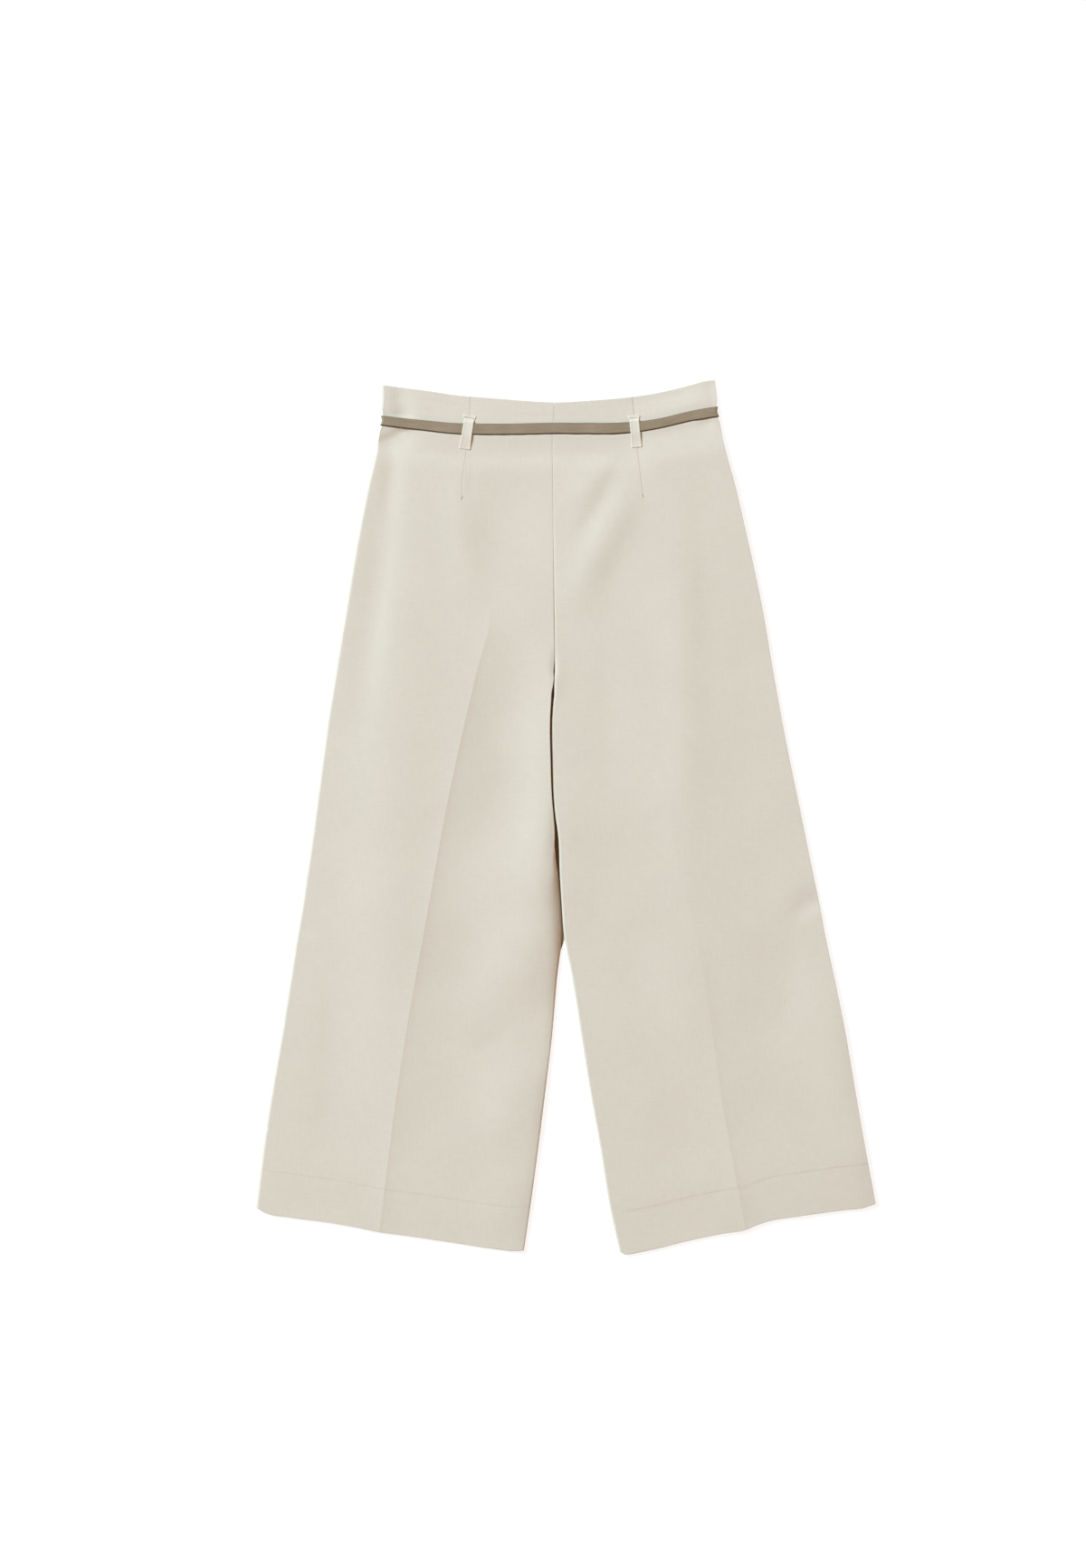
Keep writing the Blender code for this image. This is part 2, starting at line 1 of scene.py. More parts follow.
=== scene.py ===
"""Culottes laid flat with the back side up, and their narrow belt: the finish of every surface.

The frame gives the solids: back panels lie on front panels, and a belt goes round both. Here each panel is
one fine sheet of cloth on its solid's form, with turned hems, seams, darts, pressed creases, soft folds and
stitches, and the belt and its loops are modelled strips. Tables and lengths are in millimetres, in the
frame's own axes: X across, Y from hem to waist, Z up off the floor. Meshes are scaled to metres.
"""

import math
from collections import namedtuple
from functools import partial

import bpy
import numpy as np
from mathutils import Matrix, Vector


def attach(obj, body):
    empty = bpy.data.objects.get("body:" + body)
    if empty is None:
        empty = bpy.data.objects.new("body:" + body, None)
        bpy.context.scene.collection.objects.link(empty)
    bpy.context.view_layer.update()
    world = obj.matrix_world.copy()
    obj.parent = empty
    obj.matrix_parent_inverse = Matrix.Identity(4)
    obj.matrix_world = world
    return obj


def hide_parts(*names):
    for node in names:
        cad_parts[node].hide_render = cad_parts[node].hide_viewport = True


MM = 0.001


def table(kind, *rows):
    """Rows of a table, with its columns' names."""
    return tuple(kind(*row) for row in rows)


# ---- Sizes that the solids have too, and the folds' fit to the photo ----

SOLID_WALL = 1.2
LAYER_GAP = 0.45
SEAM_GAP = 0.3
LOFT = 2.8  # of the back layer above the front one, below the belt
LOFT_RISE = 40.0
HEM_SETTLE = 60.0  # length over which the back layer comes down to its hem
HEM_LOFT = 0.75  # share of its height that is left there
BELT_WIDTH = 12.0
BELT_THICKNESS = 1.6
BELT_BED = 8.0  # half of the cloth's flat stretch at the belt
BELT_SLOPE = 24.0  # length over which the cloth comes down from it
BELT_SLOPE_RIGHT = 26.0  # what that length has more, below the belt on the right
BACK_FALL = 230.0  # and what it has more again in the back layer
BELT_PINCH = 3.2  # how far the belt draws the sides in
BELT_PINCH_REACH = 7.5
BELT_REACH = 0.35
BELT_END_SQUARE = 0.5
SEAT = 0.35  # clear space under the belt
CROTCH_TOP = 150.0
CROTCH_EASE = 40.0
FOLD_TAPER = 0.42
FOLD_END = 30.0
FOLD_REACH = 3.2  # widths at which a fold has died out

Level = namedtuple("Level", "y left_side left_inner right_inner right_side")
LEVELS = table(Level,
    (460, -193.2, -11.4, -11.4, 156), (430, -193, -12, -12, 159.6),
    (400, -196, -13.8, -13.8, 164), (345, -208.1, -13.4, -13.4, 178.2),
    (288, -219.4, -12.8, -12.8, 191.4), (230, -229, -12.4, -12.4, 204),
    (140, -243.6, -12.4, -12.4, 219.7), (100, -249.9, -15.6, -15, 227),
    (60, -255.3, -15.3, -14.6, 234.8), (10, -261.9, -13, -12.2, 245.2),
    (-20, -265.8, -8.8, -7.9, 251.3), (-60, -271.8, -7.2, -6.2, 259.5),
    (-95, -276.9, -5, -4, 266.9), (-120, -281.2, -3.9, -2.2, 271.3),
    (-170, -289.1, -9, 6.9, 282), (-230, -298.6, -14.3, 16.3, 294),
    (-282, -307.6, -20.5, 24.5, 302.8), (-345, -317.2, -28.4, 35.8, 313.8),
    (-410, -325, -37.2, 46.4, 325.8), (-460, -331, -44.6, 57.6, 334),
)

Point = namedtuple("Point", "x y")
WAIST = table(Point,
    (-192.9, 452.7), (-147.3, 447), (-113, 442.2), (-78.9, 439.4), (-44.7, 436.5), (-11.4, 434.6),
    (23.8, 436.5), (58, 439.4), (92.2, 444.1), (126.4, 451.7), (149.2, 457.4), (156.6, 458.4),
)
LEFT_HEM = table(Point,
    (-325, -409.2), (-318.5, -413.4), (-289.8, -419.5), (-255.6, -424.2), (-221.4, -429.9),
    (-198.6, -434.7), (-164.4, -439.4), (-118.8, -446.1), (-73.2, -452.7), (-52, -454.8), (-44.5, -454.4),
)
RIGHT_HEM = table(Point,
    (57.6, -455.6), (60.5, -457.9), (65, -458.2), (75, -456.5), (97.9, -451.8), (120.7, -446.1),
    (166.3, -436.6), (189.1, -432.8), (200.5, -428), (211.9, -424.2), (246, -418.5), (291.7, -411.9),
    (314.5, -409), (325, -405.2),
)
BELT_LINE = table(Point,
    (-196, 416), (-170, 412.8), (-147, 410.4), (-124, 407.8), (-80, 406.3), (-10, 407.2),
    (58, 407.5), (81, 410.2), (103.5, 414), (126, 419), (149, 423.4), (160, 425),
)
LEFT_LINE = table(Point,
    (-99.8, 440.5), (-104.5, 384.8), (-107.4, 365.3), (-109.3, 334), (-98, 270), (-79.8, 210.4),
    (-93.1, 152.9), (-120.1, 33.7), (-144.8, -100.3), (-171, -249.4), (-198.6, -460),
)
RIGHT_LINE = table(Point,
    (69.4, 445), (75, 386.2), (79.8, 344.4), (80.7, 335), (70, 275), (56.1, 217), (85.5, 95.5),
    (110.2, -11), (137.8, -127.8), (168.2, -322.6), (194, -460),
)
DART_TIPS = {"left": 329.0, "right": 331.0}

Press = namedtuple("Press", "y height")
Crease = namedtuple("Crease", "line presses left right")
CREASES = {
    "left": Crease(LEFT_LINE, table(
        Press, (222, 0), (190, 0.7), (150, 1), (60, 1.15), (-50, 1.15), (-150, 1.05), (-250, 0.95),
        (-350, 1), (-470, 1),
    ), 26, 19),
    "right": Crease(RIGHT_LINE, table(
        Press, (218, 0), (170, 0.1), (60, 0.12), (-50, 0.12), (-150, 0.25), (-230, 0.5), (-300, 0.7),
        (-400, 0.85), (-470, 0.9),
    ), 24, 14),
}

Roll = namedtuple("Roll", "y left_side right_inner")
ROLLS = table(Roll,  # how far in from its west edge each panel goes on rising; 0 is a square edge
    (460, 3, 0), (400, 2.5, 0), (280, 3.5, 0.3), (100, 2.5, 0.8), (0, 2.5, 0.8), (-120, 2.5, 1.2),
    (-200, 2.5, 1.5),
)

Ramp = namedtuple("Ramp", "y width share power")
RAMPS = table(Ramp,  # the left leg's fall towards its inner edge, as a share of its height
    (-20, 4, 0, 3), (-35, 5, 0.06, 3), (-47, 9, 0.5, 4), (-60, 13, 0.9, 4.5),
    (-75, 18, 1, 3.8), (-90, 21, 1, 3.5), (-120, 19, 1, 3.3), (-132, 17, 0.9, 3.6),
    (-150, 14, 0.5, 3.2), (-200, 14, 0.36, 2.6), (-250, 12, 0.2, 2.2), (-460, 11, 0.14, 2),
)

Fold = namedtuple("Fold", "name path height left right")
LEFT_FOLDS = table(Fold,  # roughly from the leg's left edge to its right one
    ("side hollow", ((-180, 414), (-182, 376), (-184, 344), (-189, 292)), -1.1, 10, 11),
    ("hip hollow", ((-178, 402), (-185, 350), (-190, 300), (-196, 250), (-203, 200), (-209, 150),
     (-216, 80), (-221, 0)), -1.7, 20, 14),
    ("long ridge", ((-157, 402), (-166, 300), (-173, 200), (-178, 100), (-182, 0), (-185, -100),
     (-190, -200), (-196, -300), (-203, -400)), 2.2, 40, 44),
    ("dart ridge", ((-113, 392), (-112, 340), (-108, 290), (-100, 250), (-91, 215)), 1.1, 17, 25),
    ("seat hollow", ((-65, 385), (-65, 330), (-70, 270), (-64, 215)), -1.3, 40, 42),
    ("inner thigh hollow", ((-65, 215), (-65, 150), (-66, 90), (-66, 30), (-71, -30), (-83, -90)),
     -2.3, 38, 37),
    ("inner thigh ridge", ((-16, 205), (-14, 150), (-15, 90), (-17, 30), (-22, -20), (-28, -70),
     (-36, -130)), 2.6, 23, 12),
    ("knee ridge", ((-22, 0), (-24, -32), (-27, -62), (-30, -95), (-33, -135), (-40, -180), (-47, -225)),
     3.4, 60, 34),
    ("calf hollow", ((-89, -100), (-102, -150), (-118, -215)), -1.5, 40, 36),
    ("calf ridge", ((-37, -95), (-41, -150), (-54, -210)), 1.6, 42, 28),
    ("shin line", ((-46, -205), (-64, -226), (-86, -240), (-104, -244)), -0.3, 10, 10),
    ("shin ridge", ((-43, -235), (-52, -300), (-66, -370)), 2.2, 35, 38),
    ("hem ridge", ((-52, -330), (-60, -400), (-66, -450)), 1.2, 30, 24),
    ("outer hem hollow", ((-237, -100), (-241, -200), (-245, -300), (-253, -400)), -0.8, 20, 40),
    ("edge dent", ((-292, -116), (-279, -118), (-262, -128)), -0.6, 6, 6),
)
RIGHT_FOLDS = table(Fold,  # roughly from left to right
    ("inner ridge", ((-8, 70), (-6, 10), (-4, -40), (0, -90), (6, -140)), 1.3, 30, 34),
    ("upper diagonal ridge", ((66, 388), (48, 370), (31, 352), (14, 332), (-3, 310)), 1.5, 20, 30),
    ("upper diagonal hollow", ((65, 384), (52, 358), (37, 331), (21, 303), (6, 274)), -0.8, 10, 11),
    ("diagonal ridge", ((80, 380), (67, 346), (56, 320), (42, 293), (26, 263), (10, 230), (-4, 196)),
     2.2, 18, 20),
    ("long ridge", ((121, 402), (121, 300), (123, 200), (126, 100), (127, 0), (133, -80), (142, -160)),
     1.7, 26, 38),
    ("hip hollow", ((143, 395), (143, 320), (146, 230), (148, 140), (150, 40), (154, -60)), -0.45, 13, 19),
    ("seat hollow", ((40, 230), (44, 160), (44, 100), (48, 40), (52, -20)), -0.6, 21, 28),
    ("knee hollow", ((70, -90), (72, -150), (77, -215)), -0.4, 21, 17),
    ("knee ridge", ((123, -100), (127, -150), (131, -210), (133, -270)), 1, 30, 25),
    ("shin hollow", ((118, -262), (124, -320), (130, -390)), -0.7, 24, 38),
    ("outer hollow", ((237, -85), (230, -150), (222, -210), (209, -290)), -1.3, 38, 24),
    ("outer shin ridge", ((276, -125), (283, -200), (291, -290), (303, -390)), 1.4, 26, 20),
    ("outer hem ridge", ((300, -300), (306, -380), (312, -450)), 1.6, 75, 20),
    ("edge dent", ((286, -84), (268, -86), (250, -95), (230, -120)), -1.25, 13, 10),
)

STRAP_WIDTH = 11.5
STRAP_RISE = 0.2  # of the strap's middle above the belt line
STRAP_SEAT = 0.1  # clear space under the strap
Trim = namedtuple("Trim", "x upper lower")
TRIMS = table(Trim,  # how far the strap's upper and lower edges stray from its width along it
    (-196, -0.8, 0.3), (-175, -0.75, 0.45), (-150, -0.75, 0.1), (-125, -0.4, -0.1), (-95, -0.1, -0.1),
    (10, 0.1, 0), (24, 0.6, 0.4), (45, 0.4, 0.2), (66, -0.3, -0.2), (80, -1.1, -0.3), (100, -1.2, 0),
    (115, -0.75, 0.4), (130, -0.5, 0.6), (145, -0.5, 0.1), (162, -0.6, 0.2),
)
WELT = 0.7  # how far the cloth just below the strap stands above the cloth under it
WELT_UNDER = 0.1  # how far under the strap that begins
WELT_RISE = 1.0
WELT_FADE = 4.5

WAIST_FOLDS = table(Fold,
    ("left corner hollow", ((-176, 478), (-174, 444), (-172, 420), (-171, 394)), -1.3, 9, 11),
    ("left corner ridge", ((-152, 456), (-150, 436), (-150, 416)), 0.15, 12, 16),
    ("left belt hollow", ((-206, 406), (-186, 412), (-170, 419), (-156, 428)), -1.2, 8, 9),
    ("left end hollow", ((-210, 388), (-188, 395), (-171, 403), (-150, 414)), -2.3, 15, 6.5),
    ("right end hollow", ((140, 420), (148, 414), (157, 409)), -0.7, 6, 5),
    ("right corner ridge", ((137, 466), (140, 444), (141, 424)), 0.6, 14, 10),
    ("left upper wrinkle", ((-186, 441), (-152, 437), (-116, 431), (-84, 428)), -0.12, 2.2, 2.6),
    ("left lower wrinkle", ((-172, 425), (-140, 421), (-112, 419)), 0.14, 2.4, 2.6),
    ("middle wrinkle", ((-88, 424), (-46, 420), (-8, 421), (36, 423)), -0.10, 2.4, 3),
    ("right upper wrinkle", ((84, 434), (112, 440), (146, 450)), -0.12, 2.4, 2.8),
    ("right lower wrinkle", ((92, 424), (118, 430), (144, 437)), 0.12, 2.6, 2.8),
)
Inset = namedtuple("Inset", "side waist hem")
BACK_INSET = Inset(0.0, 0.0, 0.0)
FRONT_INSET = Inset(1.0, 1.8, 2.5)

Leg = namedtuple("Leg", "name west east hem folds")
LEGS = (
    Leg("left", "left_side", "left_inner", LEFT_HEM, LEFT_FOLDS),
    Leg("right", "right_inner", "right_side", RIGHT_HEM, RIGHT_FOLDS),
)

# ---- Sizes of the finish ----

CLOTH = 0.55  # real wall of the cloth
FOLD_RADIUS = 0.6  # of a turned edge, so that two layers fill the solid's wall
EDGE_RADIUS = 1.0  # of a side seam and an inseam, seen from the end
SHARP_RADIUS = 0.2  # of the right leg's outer edge
SEAM_RADIUS = 0.22  # of the turned edge along the centre seam
RIM_RADIUS = 0.5  # of the legs' sharp edges below the crotch
SEAM_LEVEL = 1.35  # height of the seams along the long edges
LEAST_FALL = 0.02  # of an edge that already lies beyond that level
BACK_LOWEST = 1.3  # of the upper layer's face
INNER_LOWEST = 0.72  # of the cloth that is turned inside
INNER_NARROWER = 3.6  # how much narrower that cloth is than its panel
SPARE_STEP = (0.02, 0.0, -0.01)  # between its spare points, which meet the sheet's rounded long edges
HEM_DEPTH = 46.0  # turned-up hem
WAIST_DEPTH = 14.0  # turned-in top edge
HEM_ROWS = (1.0, 3.0, 12.0, 24.0, 36.0, HEM_DEPTH)
WAIST_ROWS = (1.0, 3.0, 8.0, WAIST_DEPTH)
TURN_STEPS = 5  # facets in a quarter of a turned edge
BELT_CLOSE = (1.0, 0.5)  # how far under the belt's upper and lower edge the wrinkles start to rise
BELT_CLOSE_FADE = 3.5
SEAM_DIP = 0.07
SEAM_DIP_WIDTH = 1.7
Dip = namedtuple("Dip", "depth y width length")
CROTCH_DIP = Dip(0.8, 159.0, 3.0, 13.0)  # where the centre seam ends
DART_STEP = {"left": 0.15, "right": 0.25}  # drop across a dart's stitching, from its left to its right
DART_STEP_HALF = 0.4
DART_STEP_REACH = 9.0
DART_FADE = 6.0
TIGHT_DIP = 0.7  # shares of the seam's and darts' depths above the belt
TIGHT_DART = 1.4
PRESS_EDGE = 0.2  # the creases' sharp edge, as a share of their height, and its reach to each side
PRESS_EDGE_REACH = (9.0, 3.0)
RIM = 0.2  # height of the pressed ridge along the left leg's edge, and its place and width
RIM_AT = 1.0
RIM_WIDTH = 0.8
HEM_MARK = 0.26  # depth of the line that the hem's blind stitches leave
HEM_MARK_RISE = 0.8  # half of the width over which the cloth drops at it
HEM_MARK_REACH = 9.0  # how far below it the cloth comes back up
HEM_MARK_BROKEN = 0.3  # share of its depth that comes and goes in waves of these lengths
HEM_MARK_WAVES = (5.3, 23.0, 31.0)
SIDE_MARK = 0.16  # side seams' pressing near the top, in from each edge
SIDE_MARK_IN = 5.5
SIDE_MARK_WIDTH = 0.9

Span = namedtuple("Span", "start length")
RIGHT_HALF = Span(40.0, 60.0)  # where the belt's left half passes into its right one, in X
SIDE_MARK_UP = Span(-4.0, 10.0)  # where the side seams' pressing begins, from the belt's middle up
RIM_UP = Span(-45.0, 30.0)  # where the pressed ridge begins, going up, in Y
SHARP_UP = Span(-140.0, 30.0)  # where the legs' edges become sharp
UNDER_UP = Span(-142.0, 14.0)  # where they start to turn back under themselves

Slot = namedtuple("Slot", "y left right")
SLOTS = table(Slot,  # how far each leg's edge lies from the line between them, from the crotch down
    (460, 0.13, 0.13), (330, 0.11, 0.11), (285, 0.05, 0.05), (240, 0.01, 0.01), (172, 0.01, 0.01),
    (163, 0.2, 0.15), (152, 1, 0.8), (146, 0.15, 0.1), (138, 0.8, 0.7), (130, 1.7, 1.4),
    (120, 1.15, 0.95), (100, 0.58, 0.5), (60, 0.36, 0.42), (20, 0.36, 0.3), (5, 0.45, 0.2), (-5, 1.2, 0.15),
    (-15, 2.1, 0.15), (-30, 3.7, 0.1), (-45, 2.5, 0.1), (-60, 0.4, 0.1), (-75, 0.1, 0.1),
    (-460, 0.15, 0.15),
)
SLOT_REACH = 5.0  # how far in from the edge the sheet gives way for it
UNDERCUT = {"left": 4.0, "right": 12.0}  # how far the legs' edges turn back under themselves there
CLOSED = 0.05  # from the lower layer's line to each of its edges
LOWER_LINE = 3.0  # how far that line lies to the right of the upper one

Grid = namedtuple("Grid", "row column")
BACK_GRID = Grid(row=3.0, column=3.4)
FRONT_GRID = Grid(row=6.0, column=6.0)
EDGE_PLACES = (1.3, 2.1, 3.2, 4.8, 7.0, 10.0)  # columns beside each long edge
LINE_PLACES = (0.4, 0.9, 1.6, 2.6, 4.0, 6.0)  # columns beside the dart and crease
LINE_ASIDE = (95.0, 120.0)  # about how far the sides lie from those
TOP_PLACES = (FOLD_RADIUS, 1.6, 3.0)  # rows below the top edge
HEM_PLACES = (3.0, 1.2, FOLD_RADIUS)  # rows above the hem
MARK_PLACES = (  # rows about the hem's line
    -4.2, -3.3, -2.6, -2.0, -1.5, -1.0, -0.6, -0.2, 0.2, 0.6, 1.0, 1.5, 2.0, 2.7, 3.5,
)
BELT_ROW = 1.7  # between the rows at the belt, down to BELT_ROWS_END
BELT_ROWS_END = 72.0
WIDE_ROWS_START = 73.5
FRONT_WIDTH = 240.0  # of a front panel, for its columns
FRONT_TOP = 90.0  # its stretch of close rows, and their number
FRONT_TOP_ROWS = 36
GRAIN_ENDS = (-460.0, 440.0)  # of the creases' lines, in Y, beyond which the grain runs straight on
ROUNDS = 6  # of solving for a point on two curves
FOLD_SAMPLES = 24  # places along a fold's path, and along a small one's at the waist
WAIST_SAMPLES = 40

# ---- Curves and outlines ----


def smooth(at, values, where):
    """Cubic through the knots (at ascending, values), with slopes from the neighbouring knots."""
    at = np.asarray(at, float)
    values = np.asarray(values, float)
    where = np.asarray(where, float)
    slopes = np.gradient(values, at)
    i = np.clip(np.searchsorted(at, where) - 1, 0, len(at) - 2)
    step = at[i + 1] - at[i]
    t = (where - at[i]) / step
    start = (1 + 2 * t) * (1 - t) ** 2 * values[i] + t * (1 - t) ** 2 * step * slopes[i]
    end = t * t * (3 - 2 * t) * values[i + 1] + t * t * (t - 1) * step * slopes[i + 1]
    return start + end


def ease(t):
    t = np.clip(t, 0.0, 1.0)
    return t * t * (3 - 2 * t)


def rise(at, span):
    return ease((at - span.start) / span.length)


def bump(distance, width):
    return np.exp(-(distance / width) ** 2)


def fading(distance, left, right):
    return np.exp(-np.abs(distance) / np.where(distance < 0, left, right))


def step_down(distance, half, reach):
    """A step from 0 to 1, half wide on each side of its middle, that fades away beyond it."""
    return ease(distance / half / 2 + 0.5) * np.exp(-np.maximum(distance, 0.0) / reach)


def by_y(rows, column, y, curved=False):
    """A table's column at y, in straight lines or a curve through its rows."""
    rows = sorted(rows, key=lambda row: row.y)
    at = [row.y for row in rows]
    values = [getattr(row, column) for row in rows]
    return smooth(at, values, y) if curved else np.interp(y, at, values)


def level_x(column, y):
    return by_y(LEVELS, column, y, curved=True)


def crease_x(leg, y):
    return by_y(CREASES[leg.name].line, "x", y, curved=True)


def edge_y(edges, x):
    at = [edge.x for edge in edges]
    return smooth(at, [edge.y for edge in edges], np.clip(x, at[0], at[-1]))


def belt_y(x):
    return edge_y(BELT_LINE, x)


def edge_x(column, y, inset):
    """A panel's long edge: a side is drawn in at the belt, and an inner edge stops short of the seam."""
    x = level_x(column, y)
    if column.endswith("side"):
        outward = math.copysign(1.0, x.flat[0])
        pinch = BELT_PINCH * bump(y - belt_y(x), BELT_PINCH_REACH)
        return x - outward * (inset.side + pinch)
    inward = -1.0 if column.startswith("left") else 1.0
    return x + inward * SEAM_GAP / 2


def mix(a, b, t):
    return a + (b - a) * t[..., None]


def corner(edges, column, lift, inset):
    x = np.array([0.0])
    for _ in range(ROUNDS):
        y = edge_y(edges, x) + lift
        x = edge_x(column, y, inset)
    return np.array([x[0], y[0]])


def panel_points(leg, u, v, inset):
    """Points of a panel between its four edges: across (u) from its left one and down (v) from the waist."""
    top = [corner(WAIST, column, -inset.waist, inset) for column in (leg.west, leg.east)]
    low = [corner(leg.hem, column, inset.hem, inset) for column in (leg.west, leg.east)]

    def cross(edges, ends, lift):
        x = ends[0][0] + (ends[1][0] - ends[0][0]) * u
        return np.stack([x, edge_y(edges, x) + lift], -1)

    def down(column, start, end):
        y = start[1] + (end[1] - start[1]) * v
        return np.stack([edge_x(column, y, inset), y], -1)

    waist = cross(WAIST, top, -inset.waist)
    hem = cross(leg.hem, low, inset.hem)
    west = down(leg.west, top[0], low[0])
    east = down(leg.east, top[1], low[1])
    corners = mix(mix(top[0], low[0], v), mix(top[1], low[1], v), u)
    return mix(waist, hem, v) + mix(west, east, u) - corners


# ---- Heights ----


def fold_height(x, y, fold, samples=FOLD_SAMPLES):
    """Height of one soft fold over the points."""
    path = np.array(fold.path, float)
    knots = np.linspace(0.0, 1.0, len(path))
    along = np.linspace(0.0, 1.0, samples)
    path_x, path_y = (smooth(knots, path[:, axis], along) for axis in (0, 1))
    way_x, way_y = np.gradient(path_x), np.gradient(path_y)
    reach = FOLD_REACH * max(fold.left, fold.right) + FOLD_END
    near = (x > path_x.min() - reach) & (x < path_x.max() + reach)
    near &= (y > path_y.min() - reach) & (y < path_y.max() + reach)
    height = np.zeros(x.shape)
    if not near.any():
        return height
    x, y = x[near], y[near]
    nearest = np.argmin((x[:, None] - path_x) ** 2 + (y[:, None] - path_y) ** 2, axis=-1)
    dx, dy = x - path_x[nearest], y - path_y[nearest]
    way_x, way_y = way_x[nearest], way_y[nearest]
    length = np.hypot(way_x, way_y)
    aside = (way_x * dy - way_y * dx) / length
    beyond = (way_x * dx + way_y * dy) / length
    place = along[nearest] + beyond / length / (samples - 1)
    taper = ease(place / FOLD_TAPER) * ease((1 - place) / FOLD_TAPER)
    width = np.where(aside > 0, fold.right, fold.left)
    height[near] = fold.height * (np.abs(beyond) < FOLD_END) * taper * bump(aside, width)
    return height


def right_half(x):
    return rise(x, RIGHT_HALF)


def belt_bed(x, y):
    """Lift of the cloth over the belt's lower run."""
    below = belt_y(x) - y
    slope = BELT_SLOPE + (below > 0) * BELT_SLOPE_RIGHT * right_half(x)
    return (BELT_THICKNESS + SEAT) * (1 - ease((np.abs(below) - BELT_BED) / slope))


def waist_lift(x, y):
    """How far the back layer stays up on each side of the belt, where the front one comes down.

    Above the belt the waist's turned edge is thick, and below it on the right the cloth comes down slowly.
    """
    above = y - belt_y(x)
    fall = BELT_SLOPE + BELT_SLOPE_RIGHT
    kept_up = ease((-above - BELT_BED) / fall) - ease((-above - BELT_BED) / (fall + BACK_FALL))
    lift = ease((above - BELT_BED) / BELT_SLOPE) * (1 - right_half(x)) + kept_up * right_half(x)
    return (BELT_THICKNESS + SEAT) * lift


def strap_trim(x, up):
    """How far the strap's edges stray, mixed from the lower one (up 0) to the upper one (up 1)."""
    return np.interp(x, [trim.x for trim in TRIMS], [t.upper * up + t.lower * (1 - up) for t in TRIMS])


def belt_welt(x, y):
    """The cloth's swelling below the strap, which presses into it."""
    edge = belt_y(x) + STRAP_RISE - STRAP_WIDTH / 2 + strap_trim(x, 0.0)
    beyond = edge - y + WELT_UNDER
    return WELT * ease(beyond / WELT_RISE) * np.exp(-np.maximum(beyond - WELT_RISE, 0.0) / WELT_FADE)


def rolled(leg, x, y):
    """How far a panel has risen at a distance from its west edge, from 0 to 1."""
    width = by_y(ROLLS, leg.west, y)
    t = np.clip(np.abs(x - level_x(leg.west, y)) / np.maximum(width, 0.001), 0.0, 1.0)
    return np.where(width > 0, np.sqrt(1 - (1 - t) ** 2), 1.0)


def hem_mark(x, below):
    """Depth of the line of blind stitches, which comes and goes along the hem."""
    short, middle, long = HEM_MARK_WAVES
    wave = np.sin(x / short + 2.0 * np.sin(x / middle)) * np.sin(x / long)
    broken = 1 - HEM_MARK_BROKEN + HEM_MARK_BROKEN * wave
    return HEM_MARK * broken * step_down(below, HEM_MARK_RISE, HEM_MARK_REACH)


def soft_folds(leg, x, y, split):
    """Both legs' folds, of which the other leg's end at the crotch."""
    height = 0.0
    for other in LEGS:
        share = 1 - split * (other is not leg)
        for fold in other.folds:
            height = height + fold_height(x, y, fold) * share
    return height


def crease_ridge(leg, aside, y):
    """The pressed crease's broad ridge and its sharp edge."""
    crease = CREASES[leg.name]
    press = by_y(crease.presses, "height", y)
    ridge = press * fading(aside, crease.left, crease.right)
    return ridge + PRESS_EDGE * press * fading(aside, *PRESS_EDGE_REACH)


def waist_wrinkles(x, y, above_belt, below_belt):
    """The small folds about the belt, half as high under it."""
    beside = ease((above_belt + BELT_CLOSE[0]) / BELT_CLOSE_FADE)
    beside = beside + ease((below_belt + BELT_CLOSE[1]) / BELT_CLOSE_FADE)
    return (1 + beside) / 2 * sum(fold_height(x, y, fold, WAIST_SAMPLES) for fold in WAIST_FOLDS)


def sewn_dips(leg, aside, from_inner, y, loft, split):
    """What the dart's and the centre seam's stitching take off the cloth."""
    dart = step_down(aside, DART_STEP_HALF, DART_STEP_REACH) * ease((y - DART_TIPS[leg.name]) / DART_FADE)
    seam = SEAM_DIP * (1 - split) * bump(from_inner, SEAM_DIP_WIDTH)
    end = bump(from_inner, CROTCH_DIP.width) * bump(y - CROTCH_DIP.y, CROTCH_DIP.length)
    seam = seam + CROTCH_DIP.depth * end
    dips = DART_STEP[leg.name] * dart * (TIGHT_DART + (1 - TIGHT_DART) * loft)
    return dips + seam * (TIGHT_DIP + (1 - TIGHT_DIP) * loft)


def left_rim(top, from_inner, y, split):
    """The left leg's height with its pressed rim and its fall towards its inner edge."""
    near = np.clip(1 - from_inner / by_y(RAMPS, "width", y), 0.0, 1.0)
    top = top + RIM * bump(from_inner - RIM_AT, RIM_WIDTH) * split * rise(y, RIM_UP)
    return top - by_y(RAMPS, "share", y) * (top - BACK_LOWEST) * near ** by_y(RAMPS, "power", y)


